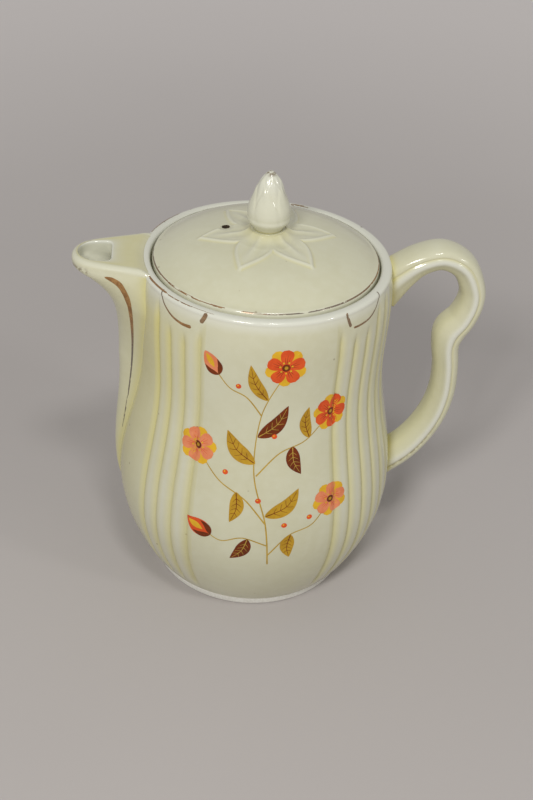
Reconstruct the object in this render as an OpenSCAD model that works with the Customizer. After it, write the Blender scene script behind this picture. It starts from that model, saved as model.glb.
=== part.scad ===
// Lidded ceramic coffee pot: a reeded, pear-shaped pot with a long beak spout,
// a looped handle with a thumb rest, and a domed lid with a bud knob.
// The origin is on the pot's axis, on the plane that its foot stands on.
// The spout points along -X, the handle along +X, and a smooth panel faces -Y and +Y.

/* [Body] */
// Height of the rim above the table
rim_z = 165; // [155:1:185]
// Radius where the body meets the foot ring
base_r = 49; // [46:0.5:54]
// Largest radius, at the belly
belly_r = 65.4; // [60:0.2:72]
// Height of the belly
belly_z = 52; // [42:1:62]
// Fullness of the curve under the belly, where less is fuller
belly_curve = 0.85; // [0.7:0.05:1.2]
// Radius of the waist
waist_r = 56.8; // [55:0.2:60]
// Height of the waist
waist_z = 120; // [105:1:130]
// Radius of the shoulder over the waist
shoulder_r = 57.5; // [56:0.1:62]
// Height of the shoulder
shoulder_z = 147; // [138:1:150]
// Outer radius of the rim
rim_r = 55.6; // [54:0.1:58]
// Width of the rim, from its outer edge to the mouth
rim_w = 4.6; // [4:0.1:6]
// Rounding of the rim's edges
rim_round = 1.6; // [0.6:0.1:1.8]
// Thickness of the wall
wall = 4.5; // [3:0.25:6]
// Thickness of the floor
floor_t = 5; // [4:0.5:8]
// Rounding inside, between the floor and the wall
floor_round = 8; // [4:0.5:12]

/* [Foot ring] */
// Outer radius of the foot ring
foot_r = 47.7; // [44:0.1:48.8]
// Height of the foot ring
foot_h = 4; // [2.5:0.25:6]
// Width of the ring that stands on the table
foot_w = 6; // [4:0.5:10]
// Rounding of the ring's lower edge
foot_round = 0.8; // [0.4:0.1:1.5]
// Depth of the hollow under the floor
foot_recess = 2.5; // [1:0.25:4]
// Height of the crease between the ring and the body
foot_crease = 0.6; // [0.3:0.1:1.2]

/* [Reeds] */
// Half the angle of each smooth panel, front and back
panel_half = 31.6; // [26:0.2:36]
// Angle from one groove to the next
reed_pitch = 8.1; // [6:0.1:9]
// Depth of the grooves
reed_d = 1.2; // [0.4:0.1:1.8]
// Grooves on the spout side of each panel
reeds_spout = 4; // [2:1:4]
// Grooves on the handle side of each panel
reeds_handle = 6; // [2:1:6]
// Height at which the grooves start
reed_z = 8; // [6:1:20]
// Length over which the grooves fade in and out
reed_fade = 9; // [4:1:14]
// Drop of the scallop over the inner grooves, below the rim
scallop_drop = 9; // [5:0.5:14]

/* [Lid seat] */
// Depth of the ledge below the rim
seat_depth = 5.2; // [4:0.1:8]
// Width of the ledge
seat_w = 4.5; // [3:0.1:6]
// Thickness of the ledge at its inner edge
seat_t = 4; // [3:0.25:6]

/* [Spout] */
// Distance from the axis to the tip of the lip
spout_reach = 85.2; // [80:0.2:95]
// Height at which the ridge below the beak starts
spout_z = 38; // [30:1:60]
// Height at which the beak starts to flare
flare_z = 115; // [105:1:125]
// How far the ridge stands out of the body there
spout_proud = 8.6; // [7:0.1:11]
// Half the angle that the spout takes up at the shoulder
spout_spread = 24; // [20:0.5:25]
// Half the width of the beak near its tip
beak_w = 12.6; // [11:0.1:14]
// Half the width of the ridge's nose
nose_w = 6.5; // [5.5:0.1:8]
// Rise of the level deck above the rim
deck_rise = 1.4; // [0.8:0.1:3]
// How far the deck laps over the rim
deck_lap = 2.2; // [1.5:0.1:3]
// Rounding of the deck's edges
deck_round = 2.6; // [1.5:0.1:3.5]
// Thickness of the deck
deck_t = 4.5; // [3.5:0.25:6]
// Length of the deck, from the rim to the mouth
deck_l = 12.2; // [10:0.2:16]
// Height of the rounded lip
lip_h = 8; // [7:0.1:10]
// How far the rounded lip stands out
lip_round = 5; // [3:0.1:6]
// Half the width of the mouth in the deck
mouth_w = 8.5; // [6:0.1:9]
// Rounding of the mouth's back corners
mouth_round = 2.4; // [1:0.1:4]
// Thickness of the lip in front of the mouth
lip_t = 2.8; // [2:0.1:4]
// Thickness of the spout's wall
spout_wall = 3.2; // [2.8:0.1:4]
// Width of the port through the body's wall
port_w = 9; // [6:0.5:10]
// Height at which the port starts
port_z = 88; // [80:1:100]
// Height of the port
port_h = 54; // [40:1:58]

/* [Handle] */
// Distance from the axis to the outermost point of the loop
handle_reach = 101; // [92:0.5:112]
// Rise of the loop's top above the rim
handle_rise = 8.5; // [4:0.5:16]
// Height of the middle of the lower root
root_low_z = 58; // [50:1:75]
// Drop of the middle of the upper root below the rim
root_drop = 11; // [10:0.5:16]
// Thickness of the grip
grip_t = 12.6; // [10:0.2:15]
// Width of the grip
grip_w = 17; // [13:0.25:20]

/* [Lid] */
// Gap between the lid and the mouth, all round
lid_gap = 0.8; // [0.4:0.1:1.2]
// Rise of the dome above its edge
dome_rise = 11.8; // [8:0.2:16]
// Flatness of the dome's middle, where more is flatter
dome_power = 3.2; // [2:0.1:4]
// Thickness of the lid
lid_t = 4.5; // [3.5:0.25:6]
// Rounding of the lid's edge
lid_round = 2; // [1:0.1:2.5]
// Height of the lid's edge, from the ledge up
lid_edge_h = 5; // [4:0.1:6]
// Depth of the skirt below the ledge
skirt_h = 10; // [6:0.5:16]
// Thickness of the skirt
skirt_t = 4; // [3:0.25:6]
// Diameter of the vent hole
vent_d = 3.6; // [2.5:0.1:5]
// Distance of the vent hole from the axis
vent_r = 19; // [16:0.5:24]
// Direction of the vent hole
vent_a = 162; // [150:1:170]
// Number of petals in the rosette
petals = 6; // [4:1:8]
// Reach of the petals from the axis
petal_r = 31.2; // [24:0.2:38]
// Largest width of a petal
petal_w = 16.5; // [10:0.5:18]
// Height of the petals over the dome
petal_h = 1.1; // [0.6:0.1:1.8]
// Direction of the first petal
petal_a = 4.6; // [0:0.2:30]

/* [Knob] */
// Largest radius of the bud
bud_r = 9.4; // [8:0.1:11]
// Height of the bud
bud_h = 26.4; // [22:0.2:32]
// Radius of the bud's neck
neck_r = 7; // [6:0.1:8]
// Height of the widest part of the bud
bud_belly_h = 7; // [5:0.25:10]
// How far the collar under the bud stands out of the neck
collar_w = 0.8; // [0.4:0.1:1.5]
// Height of the collar over the dome
collar_h = 3.4; // [1:0.1:5]
// Radius at which the collar starts to flare up from the dome
collar_r = 15.5; // [12:0.5:18]
// Number of outer petals round the bud
sepals = 5; // [3:1:6]
// How far the outer petals stand proud
sepal_t = 0.7; // [0.3:0.1:1.2]
// Height of the outer petals' tips
sepal_h = 17; // [12:0.5:20]

/* [Joint] */
// Clearance of the slip joint under the spout and the handle
lute = 0.05; // [0.02:0.01:0.2]

/* [Hidden] */
$fn = 96;

glaze = "#e3ddb0";
// Overlap of a cut with what it cuts
cut = 1;
// Half the angle over which the last groove of a group softens into the plain wall
reed_edge = 3.2;
// Place of a reed's shoulders, as a share of half its width
reed_shoulder = 0.72;
// Angle between the points of the plain stretches of the body
plain_step = 7;
// How late the beak's underside turns outward, where more is later
flare_power = 5;
// Thickness of the deck's edge on the rim, and how far out it slopes up to the deck
lap_t = 0.4;
lap_slope = 3;
// Height over its start at which the spout's ridge is clear of the wall
ridge_in = 5;
// How late the spout widens, and the share by which it closes in again under the deck
spread_power = 1.25;
spread_close = 0.16;
// Largest share of the spout's width that its nose takes up, and the least half width of a section
nose_share = 0.6;
least_half = 0.5;
// How quickly the spout's flanks close in, and how blunt its nose is on the ridge and on the beak
flank_power = 1.3;
ridge_blunt = 3;
beak_blunt = 7;
// How far the petals and the collar reach down into the dome
sink = 0.6;
// Half the width of a petal's tip
petal_tip = 0.15;
// How far the outer petals' edges dip beside their tips, and the height over which they thin out
sepal_bow = 0.55;
sepal_fade = 5;
// Share of the bud's height at which its tip is cut blunt, and the least radius of the tip
bud_blunt = 0.985;
bud_tip_r = 0.3;

mouth_r = rim_r - rim_w;
ledge_r = mouth_r - seat_w;
seat_z = rim_z - seat_depth;
floor_z = foot_recess + floor_t;
body_z = foot_h + foot_crease;
scallop_z = rim_z - scallop_drop;
deck_z = rim_z + deck_rise;
lip_z = deck_z - lip_h;
lid_r = mouth_r - lid_gap;
skirt_r = ledge_r - lid_gap;
edge_z = seat_z + lid_edge_h;
dome_z = edge_z + dome_rise;
knob_z = dome_z + collar_h;

// Shared shapes

function clamp(v) = max(0, min(1, v));
function smooth(v) = clamp(v) * clamp(v) * (3 - 2 * clamp(v));
function wave(a, b, t) = a + (b - a) * (1 - cos(180 * t)) / 2;
function steps(a, b, n) = [for (i = [0:n - 1]) a + (b - a) * i / n];
function mirrored(half) =
    concat(half, [for (i = [len(half) - 1:-1:0]) if (half[i][1] != 0) [half[i][0], -half[i][1]]]);

// A closed solid through rings of points, bottom ring first, each anticlockwise from above.
// Where strip is true the rings are mirror images of themselves, and their end faces are cut
// into strips across the mirror plane. Otherwise they are fans.
module loft(rings, strip = false) {
    n = len(rings[0]);
    last = len(rings) - 1;
    points = [for (ring = rings, p = ring) p];
    sides = [for (k = [0:last - 1], i = [0:n - 1], t = [0, 1])
        let (a = k * n + i, b = k * n + (i + 1) % n)
        t == 0 ? [a, a + n, b + n] : [a, b + n, b]];
    fan = [for (i = [1:n - 2]) [0, i, i + 1]];
    strips = [for (i = [0:floor(n / 2) - 1], t = [0, 1])
        let (a = i, b = i + 1, c = n - i - 2, d = n - i - 1)
        if (t == 1 || b != c) t == 0 ? [a, b, c] : [a, c, d]];
    cap = strip ? strips : fan;
    top = [for (f = cap) [f[2], f[1], f[0]] + last * n * [1, 1, 1]];
    polyhedron(points, concat(sides, cap, top), convexity = 8);
}

// Body

function belly_share(z) = pow(sin(90 * clamp((z - body_z) / (belly_z - body_z))), belly_curve);
function body_r(z) =
    z < belly_z ? base_r + (belly_r - base_r) * belly_share(z)
  : z < waist_z ? wave(belly_r, waist_r, (z - belly_z) / (waist_z - belly_z))
  : z < shoulder_z ? wave(waist_r, shoulder_r, (z - waist_z) / (shoulder_z - waist_z))
  : shoulder_r - (shoulder_r - rim_r) * pow((min(z, rim_z) - shoulder_z) / (rim_z - shoulder_z), 2);

// Radius and height of each ring of the outside, from the foot to the rim
rim_turn_z = rim_z - rim_round;
outside = concat(
    [[foot_r - foot_round, 0], [foot_r, foot_round], [foot_r, foot_h]],
    [for (z = concat(
        steps(body_z, belly_z, 6), steps(belly_z, waist_z, 7),
        steps(waist_z, scallop_z, 4), steps(scallop_z, rim_turn_z, 4))) [body_r(z), z]],
    [for (a = [0, 45, 90])
        [body_r(rim_turn_z) - rim_round * (1 - cos(a)), rim_turn_z + rim_round * sin(a)]]);

// Height at which the reeds end: under the scallop over the inner grooves, and at the rim beyond it.
// The angle runs from a panel's centre, below zero towards the spout.
scallop_half = 1.62 * reed_pitch;
scallop_mid = panel_half + 1.42 * reed_pitch;
function reed_top(a) =
    let (u = (abs(a) - scallop_mid) / scallop_half)
    rim_z - rim_round - (abs(u) < 1 ? scallop_drop * sqrt(1 - u * u) : 0);

// Depth of the reeding across the wall, from 0 on a crown to 1 in a groove
function reed_shape(a) =
    let (last = (a < 0 ? reeds_spout : reeds_handle) - 1, k = (abs(a) - panel_half) / reed_pitch)
    k < 0 ? pow(clamp(1 + k * reed_pitch / reed_edge), 2)
  : k > last ? pow(clamp(1 - (k - last) * reed_pitch / reed_edge), 2)
  : pow(2 * abs(k - floor(k) - 0.5), 4);

function reed_depth(a, z) =
    reed_d * reed_shape(a) * smooth((z - reed_z) / reed_fade) * smooth((reed_top(a) - z) / reed_fade);

// Angles of the body's points on one side of a panel's centre
function group_angles(count) = concat(
    steps(0, panel_half - reed_edge, 4),
    [panel_half - reed_edge],
    [for (k = [0:count - 2], u = [-1, -reed_shoulder, 0, reed_shoulder])
        panel_half + (k + 0.5 + u / 2) * reed_pitch],
    [panel_half + (count - 1) * reed_pitch],
    let (from = panel_half + (count - 1) * reed_pitch + reed_edge)
    steps(from, 90, ceil((90 - from) / plain_step)),
    [90]);
towards_spout = group_angles(reeds_spout);
towards_handle = group_angles(reeds_handle);
half_turn = concat(
    [for (i = [len(towards_spout) - 1:-1:1]) -towards_spout[i]],
    towards_handle);
body_angles = concat(
    [for (a = half_turn) [a - 90, a]],
    [for (i = [len(half_turn) - 2:-1:1]) [90 - half_turn[i], half_turn[i]]]);

module body_outside() {
    loft([for (p = outside)
        [for (t = body_angles)
            let (r = p[0] - reed_depth(t[1], p[1]))
            [r * cos(t[0]), r * sin(t[0]), p[1]]]]);
}

// The plain outside of the body, which the spout and the handle are cut to fit.
// It goes on upward, so that nothing is left over the mouth.
module body_clearance() {
    over_z = knob_z + bud_h;
    lap_r = rim_r - deck_lap;
    rotate_extrude()
        polygon(concat(
            [[0, 0]],
            [for (p = outside) p + [lute, lute]],
            [[lap_r, rim_z + lute], [lap_r, rim_z + lap_t], [lap_r + lap_slope, deck_z + lute],
             [lap_r + lap_slope, over_z], [0, over_z]]));
}

module body_inside() {
    under_z = seat_z - seat_t;
    // The wall leans in to the ledge at 45 degrees
    lean_z = under_z - (body_r(under_z) - wall - ledge_r);
    corner_z = floor_z + floor_round;
    corner_r = body_r(corner_z) - wall;
    rotate_extrude()
        polygon(concat(
            [[0, floor_z]],
            [for (a = [0:22.5:67.5])
                [corner_r - floor_round * (1 - sin(a)), corner_z - floor_round * cos(a)]],
            [for (z = concat(steps(corner_z, waist_z, 12), steps(waist_z, lean_z, 3), [lean_z]))
                [body_r(z) - wall, z]],
            [[ledge_r, under_z], [ledge_r, seat_z], [mouth_r, seat_z]],
            [for (a = [0:30:90])
                [mouth_r + rim_round * (1 - cos(a)), rim_z - rim_round + rim_round * sin(a)]],
            [[mouth_r + rim_round, rim_z + cut], [0, rim_z + cut]]));
}

module port() {
    translate([-belly_r - cut, 0, port_z + port_w / 2])
        rotate([90, 0, 90])
            linear_extrude(belly_r) {
                circle(d = port_w);
                translate([-port_w / 2, 0])
                    square([port_w, port_h - port_w]);
                translate([0, port_h - port_w])
                    circle(d = port_w);
            }
}

module pot_body() {
    color(glaze)
        difference() {
            body_outside();
            body_inside();
            port();
            translate([0, 0, -cut])
                cylinder(r = foot_r - foot_w, h = foot_recess + cut);
        }
}

// Spout

// Distance from the axis to the spout's nose
function ridge_x(z) = body_r(z) + spout_proud * clamp((z - spout_z) / (flare_z - spout_z));
function nose_x(z) =
    let (flare = spout_reach - lip_round - ridge_x(lip_z))
    ridge_x(min(z, lip_z)) + flare * pow(clamp((z - flare_z) / (lip_z - flare_z)), flare_power)
        + lip_round * sin(90 * clamp((z - lip_z) / (lip_h / 2)));

// Half the angle that the spout takes up on the body, and where its flanks meet the body
function spread(z) =
    spout_spread * pow(clamp((z - spout_z) / (shoulder_z - spout_z)), spread_power)
        * (1 - spread_close * smooth((z - shoulder_z) / (deck_z - shoulder_z)));
function root_x(z) = body_r(z) * cos(spread(z));
function root_w(z) = body_r(z) * sin(spread(z));
function beak_share(z) = smooth((z - flare_z) / (lip_z - flare_z));
function beak_half(z) = min(nose_share * root_w(z), nose_w + (beak_w - nose_w) * beak_share(z));

// Half the width of the spout at a distance from the axis, inside a wall of thickness t.
// The ridge's nose is round, and the beak's is blunt.
function spout_half(x, z, t) =
    let (s = clamp((x - root_x(z)) / (nose_x(z) - t - root_x(z))),
        root = max(least_half, root_w(z) - t), beak = max(least_half, beak_half(z) - t),
        blunt = ridge_blunt + (beak_blunt - ridge_blunt) * beak_share(z))
    (root - beak) * pow(1 - s, flank_power) + beak * sqrt(1 - pow(s, blunt));

// One level section, from the distance from_x out to the nose. It starts and ends at the back.
spout_points = 9;
function spout_ring(z, t, from_x, at_z) =
    let (nose = nose_x(z) - t,
        half = concat(
            [[from_x - cut, spout_half(from_x, z, t)]],
            [for (i = [0:spout_points])
                let (x = from_x + (nose - from_x) * sin(90 * i / spout_points))
                [x, i == spout_points ? 0 : spout_half(x, z, t)]]))
    [for (p = mirrored(half)) [-p[0], p[1], at_z]];

module spout_outside() {
    turn_z = deck_z - deck_round;
    zs = concat(
        steps(spout_z + ridge_in, flare_z, 8), steps(flare_z, lip_z, 8), steps(lip_z, turn_z, 4));
    loft(concat(
        [for (z = zs) spout_ring(z, 0, root_x(z) - 2 * wall, z)],
        [for (a = [0:22.5:90])
            let (inset = deck_round * (1 - cos(a)), z = turn_z + deck_round * sin(a))
            spout_ring(turn_z, inset, root_x(turn_z) - 2 * wall, z)]),
        strip = true);
}

module spout_channel() {
    under_deck = deck_z - deck_t;
    zs = concat(steps(port_z - cut, flare_z, 3), steps(flare_z, under_deck, 7), [under_deck]);
    loft([for (z = zs) spout_ring(z, spout_wall, root_x(z) - wall, z)], strip = true);
}

// The mouth has a square back and a round front, which follows the lip down into the channel
function mouth_ring(z, at_z) =
    let (back_x = rim_r + deck_l, front_x = nose_x(z) - lip_t,
        half = concat(
            [for (a = [0:30:60]) [back_x + mouth_round * (1 - cos(a)), mouth_w - mouth_round * (1 - sin(a))]],
            [for (i = [2:spout_points])
                let (s = sin(90 * i / spout_points))
                [back_x + (front_x - back_x) * s, i == spout_points ? 0 : mouth_w * sqrt(1 - pow(s, 4))]]))
    [for (p = mirrored(half)) [-p[0], p[1], at_z]];

module spout_mouth() {
    zs = concat(steps(lip_z - lip_h / 2, deck_z, 6), [deck_z]);
    loft(concat([for (z = zs) mouth_ring(z, z)], [mouth_ring(deck_z, deck_z + cut)]), strip = true);
}

module spout() {
    color(glaze)
        difference() {
            spout_outside();
            spout_channel();
            spout_mouth();
            body_clearance();
        }
}

// Handle

// The loop's centre line, from the upper root to the lower one. Each row gives the distance out
// from the body, as a share of the reach, the height between the roots, and the thickness, as a
// share of the grip's. The thumb rest is the thick stretch below the loop's top.
loop = [
    [-0.12, 0.95, 1.7],
    [0.08, 1.045, 1.3],
    [0.27, 1.112, 1.05],
    [0.5, 1.14, 0.98],
    [0.72, 1.09, 0.95],
    [0.84, 0.985, 0.93],
    [0.85, 0.9, 0.96],
    [0.785, 0.812, 1.04],
    [0.68, 0.74, 1.18],
    [0.655, 0.662, 1.02],
    [0.69, 0.54, 0.96],
    [0.695, 0.4, 0.97],
    [0.635, 0.265, 1],
    [0.5, 0.135, 1.05],
    [0.315, 0.03, 1.14],
    [0.05, -0.055, 1.38],
    [-0.12, -0.095, 1.55]];
root_high_z = rim_z - root_drop;
loop_root_x = body_r(root_high_z);
loop_top = max([for (row = loop) row[1]]);
loop_top_t = [for (row = loop) if (row[1] == loop_top) row[2] * grip_t][0];

// Height of a place on the loop: its top is set by the rise above the rim
function loop_z(v) =
    v <= 1 ? root_low_z + v * (root_high_z - root_low_z)
  : root_high_z + (v - 1) / (loop_top - 1) * (rim_z + handle_rise - loop_top_t / 2 - root_high_z);
function loop_x(u) = loop_root_x + u * (handle_reach - loop_root_x);

function spline(a, b, c, d, t) =
    0.5 * (2 * b + (c - a) * t + (2 * a - 5 * b + 4 * c - d) * t * t + (3 * b - a - 3 * c + d) * t * t * t);
loop_splits = 3;
loop_rows = [for (row = loop) [loop_x(row[0]), loop_z(row[1]), row[2] * grip_t]];
loop_path = concat(
    [for (i = [0:len(loop) - 2], k = [0:loop_splits - 1])
        spline(loop_rows[max(0, i - 1)], loop_rows[i], loop_rows[i + 1],
            loop_rows[min(len(loop) - 1, i + 2)], k / loop_splits)],
    [loop_rows[len(loop) - 1]]);

// Half of the grip's section, from the middle of its outer face to the middle of its inner face:
// a broad arched outer face, an edge at the widest part, and sides that taper inward
grip_half = [
    [0.5, 0], [0.45, 0.28], [0.31, 0.435], [0.11, 0.495], [-0.05, 0.495], [-0.19, 0.425], [-0.39, 0.31],
    [-0.49, 0.14], [-0.5, 0]];

function loop_ring(i) =
    let (a = loop_path[max(0, i - 1)], b = loop_path[min(len(loop_path) - 1, i + 1)], p = loop_path[i],
        along = [b[0] - a[0], b[1] - a[1]] / norm([b[0] - a[0], b[1] - a[1]]),
        out = [-along[1], along[0]])
    [for (q = mirrored(grip_half))
        [p[0] + out[0] * q[0] * p[2], -q[1] * grip_w, p[1] + out[1] * q[0] * p[2]]];

module handle() {
    color(glaze)
        difference() {
            loft([for (i = [0:len(loop_path) - 1]) loop_ring(i)]);
            body_clearance();
        }
}

// Lid

function dome(r) = dome_z - dome_rise * pow(r / lid_r, dome_power);

module lid_disc() {
    crown_r = lid_r - lid_round;
    under_r = skirt_r - skirt_t;
    rotate_extrude()
        polygon(concat(
            [for (i = [0:10]) [crown_r * i / 10, dome(crown_r * i / 10)]],
            [for (a = [60:-30:0])
                [crown_r + lid_round * cos(a), dome(crown_r) - lid_round * (1 - sin(a))]],
            [[lid_r, seat_z], [skirt_r, seat_z], [skirt_r, seat_z - skirt_h],
             [under_r, seat_z - skirt_h]],
            [for (i = [8:-1:0]) [under_r * i / 8, dome(under_r * i / 8) - lid_t]]));
}

// A pointed petal with a raised middle, lying on the dome along +X
petal_rows = 9;
module petal() {
    loft([for (i = [0:petal_rows])
        let (s = i / petal_rows, r = neck_r + (petal_r - neck_r) * s,
            half = max(petal_tip, petal_w / 2 * sin(180 * pow(0.36 + 0.64 * s, 1.1))),
            crown = petal_h * (1 - 0.5 * s))
        [for (q = [[1, -sink], [1, crown * 0.7], [0.5, crown * 0.55], [0, crown],
                   [-0.5, crown * 0.55], [-1, crown * 0.7], [-1, -sink]])
            let (y = q[0] * half)
            [r, y, dome(norm([r, y])) + q[1]]]]);
}

// The collar flares up from the dome to the knob
collar_rows = 6;
module collar() {
    top_r = neck_r + collar_w;
    low_z = dome(collar_r) - sink;
    rotate_extrude()
        polygon(concat(
            [[0, low_z - sink], [collar_r, low_z - sink]],
            [for (i = [0:collar_rows])
                let (s = i / collar_rows)
                [collar_r + (top_r - collar_r) * s, low_z + (knob_z - low_z) * s * s]],
            [[0, knob_z]]));
}

module lid() {
    color(glaze)
        difference() {
            union() {
                lid_disc();
                collar();
                for (i = [0:petals - 1])
                    rotate(petal_a + i * 360 / petals)
                        petal();
            }
            rotate(vent_a)
                translate([vent_r, 0, seat_z])
                    cylinder(d = vent_d, h = dome_z - seat_z + cut);
        }
}

// Knob

function bud_profile(h) =
    h < bud_belly_h
        ? neck_r + (bud_r - neck_r) * sqrt(1 - pow(1 - h / bud_belly_h, 2))
        : bud_r * pow(1 - pow((h - bud_belly_h) / (bud_h - bud_belly_h), 1.8), 0.66);

// The outer petals end in a point on each petal's middle line
function sepal(a, h) =
    let (off = abs(a * sepals / 360 - round(a * sepals / 360)) * 2)
    sepal_t * smooth((sepal_h * (1 - sepal_bow * off * off) - h) / sepal_fade) * smooth(h / bud_belly_h);

bud_points = 40;
module knob() {
    tip_h = bud_h * bud_blunt;
    hs = concat(steps(0, bud_belly_h, 4), steps(bud_belly_h, sepal_h, 8), steps(sepal_h, tip_h, 5), [tip_h]);
    color(glaze)
        loft([for (h = hs)
            [for (i = [0:bud_points - 1])
                let (a = 360 * i / bud_points,
                    r = max(bud_tip_r, bud_profile(h) - sepal_t * clamp(h / bud_belly_h) + sepal(a, h)))
                [r * cos(a), r * sin(a), knob_z + h]]]);
}

pot_body();
spout();
handle();
lid();
knob();
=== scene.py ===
"""Looks of the lidded coffee pot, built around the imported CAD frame.

Shapes are worked out in millimetres from the same named values as the part's source, at a finer
step, and written to Blender in metres. Each skin replaces one CAD node and rides on its body.
"""

import math

import bmesh
import bpy
import numpy as np
from mathutils import Matrix, Vector


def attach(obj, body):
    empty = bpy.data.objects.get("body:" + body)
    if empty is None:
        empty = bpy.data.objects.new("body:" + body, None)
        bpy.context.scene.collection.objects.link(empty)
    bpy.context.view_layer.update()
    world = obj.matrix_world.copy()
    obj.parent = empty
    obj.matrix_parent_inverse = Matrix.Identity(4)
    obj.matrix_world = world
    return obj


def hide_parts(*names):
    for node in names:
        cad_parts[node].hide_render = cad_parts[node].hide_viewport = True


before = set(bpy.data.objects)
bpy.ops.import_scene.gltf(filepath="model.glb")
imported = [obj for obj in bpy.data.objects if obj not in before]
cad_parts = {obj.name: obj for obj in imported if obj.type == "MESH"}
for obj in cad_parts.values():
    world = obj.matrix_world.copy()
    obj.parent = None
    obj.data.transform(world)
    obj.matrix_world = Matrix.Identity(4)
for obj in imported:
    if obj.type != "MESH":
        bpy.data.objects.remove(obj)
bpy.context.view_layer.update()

MM = 0.001

# Body, as in the part's source
RIM_Z = 165.0
BASE_R = 49.0
BELLY_R = 65.4
BELLY_Z = 52.0
BELLY_CURVE = 0.85
WAIST_R = 56.8
WAIST_Z = 120.0
SHOULDER_R = 57.5
SHOULDER_Z = 147.0
RIM_R = 55.6
MOUTH_R = 51.0
WALL = 4.5
FLOOR_Z = 7.5
FLOOR_ROUND = 8.0
FOOT_R = 47.7
FOOT_IN_R = 41.7
FOOT_RECESS = 2.5
BODY_Z = 4.6
LEDGE_R = 46.5
SEAT_Z = 159.8
LEDGE_UNDER_Z = 155.8

# Rounded edges of the body, in the scene alone
RECESS_ROUND = 1.0
FOOT_IN_ROUND = 0.6
FOOT_ROUND = 0.9
SEAT_FILLET = 1.0
LEDGE_ROUND = 0.6
LEDGE_LOW_ROUND = 0.8
# The hollow between the foot and the wall: distance out from the foot's side, and height
FOOT_STEP = ((0, 2.2), (0, 3.3), (0.03, 3.75), (0.25, 4.1), (0.7, 4.4))
# Radii of a ring of points half-way in on the recess and on the floor
RECESS_MID_R = 20.0
FLOOR_MID_R = 25.0
RIM_TURN_Z = 163.0
RIM_HALF = (RIM_R + 0.3 - MOUTH_R) / 2
RIM_MID = MOUTH_R + RIM_HALF
RIM_POWER = 2 / 2.6

# Reeds
PANEL_HALF = 31.6
REED_PITCH = 8.1
REED_D = 1.2
REEDS_SPOUT = 4
REEDS_HANDLE = 6
REED_Z = 8.0
REED_FADE = 9.0
REED_EDGE = 3.2
REED_TOP_Z = 163.4
SCALLOP_DROP = 9.0
SCALLOP_HALF = 1.62 * REED_PITCH
SCALLOP_MID = PANEL_HALF + 1.42 * REED_PITCH

# Spout
SPOUT_REACH = 85.2
SPOUT_Z = 38.0
FLARE_Z = 115.0
SPOUT_PROUD = 8.6
SPOUT_SPREAD = 24.0
BEAK_W = 12.6
NOSE_W = 6.5
DECK_Z = 166.4
DECK_ROUND = 2.6
DECK_BACK_X = 67.8
LIP_H = 8.0
LIP_Z = DECK_Z - LIP_H
LIP_ROUND = 5.0
LIP_T = 2.8
MOUTH_W = 8.5
MOUTH_ROUND = 2.4
MOUTH_BRIM = 0.8
SPOUT_WALL = 3.2
FLARE_POWER = 5.0
PORT_W = 9.0
PORT_Z = 88.0
PORT_H = 54.0

# How deep the spout's outside, deck and channel and the handle's roots reach into the wall
OUTSIDE_SUNK = 1.6
DECK_SUNK = 2.2
CHANNEL_SUNK = 1.0
HANDLE_SUNK = 2.2

# Handle
HANDLE_REACH = 100.9
HANDLE_RISE = 8.5
ROOT_LOW_Z = 58.0
ROOT_HIGH_Z = 154.0
GRIP_T = 12.6
GRIP_W = 17.0

# Lid and knob
LID_R = 50.2
LID_ROUND = 2.0
LID_LOW_ROUND = 0.5
CROWN_R = LID_R - LID_ROUND
LID_T = 4.5
SKIRT_R = 45.7
SKIRT_IN_R = 41.7
SKIRT_Z = 149.8
SKIRT_ROUND = 0.8
SKIRT_FILLET = 0.6
DOME_Z = 176.6
DOME_RISE = 11.8
DOME_POWER = 3.2
VENT_R = 19.0
VENT_A = math.radians(162.0)
VENT_D = 3.6
PETALS = 6
PETAL_R = 31.2
PETAL_W = 16.5
PETAL_A = 4.6
# The petals towards the front panel are this share longer
PETAL_FRONT = 0.05
NECK_R = 7.0
KNOB_Z = 180.0
COLLAR_W = 0.8
COLLAR_R = 15.5
COLLAR_SINK = 0.6
COLLAR_ROUND = 0.3
BUD_R = 9.4
BUD_H = 26.4
BUD_BELLY_H = 7.0
BUD_TIP_R = 0.3
# Shares of the bud's height at which its tip turns flat and ends
BUD_BLUNT = 0.9842
BUD_TIP = 0.9844
# The bud's foot as in the photo: a little lower and slimmer than the solid's
FOOT_DROP = 0.7
BUD_FOOT_R = 6.6
BUD_SWELL_H = 5.2
BUD_FOOT_Z = KNOB_Z - FOOT_DROP
SEPALS = 5

# Lift of gilding and print over the glaze, and how far the skin lies under the CAD surface for it
LIFT = 0.05
SKIN = 0.13


# Shared shapes

def clamp(v):
    return np.clip(v, 0.0, 1.0)


def smooth(v):
    c = clamp(v)
    return c * c * (3 - 2 * c)


def bell(v):
    return np.exp(-v ** 2)


def wave(a, b, t):
    return a + (b - a) * (1 - np.cos(np.pi * t)) / 2


def arch(v):
    """Square root of 1 less the value, and 0 where that is below zero."""
    return np.sqrt(np.clip(1 - v, 0, None))


def value_noise(x, y, seed):
    """Smooth noise from 0 to 1 with a feature size of 1, the same on every run."""
    n = 64
    table = np.random.RandomState(seed).rand(n, n)
    i, j = np.floor(x).astype(int), np.floor(y).astype(int)
    u, v = smooth(x - i), smooth(y - j)
    near, far = (table[i % n, k % n] * (1 - u) + table[(i + 1) % n, k % n] * u for k in (j, j + 1))
    return near * (1 - v) + far * v


def stretches(*parts):
    """Values along stretches that follow on, each of a start, an end and a count."""
    rows = [np.linspace(*part) for part in parts]
    return np.concatenate([row[:-1] for row in rows[:-1]] + rows[-1:])


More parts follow.
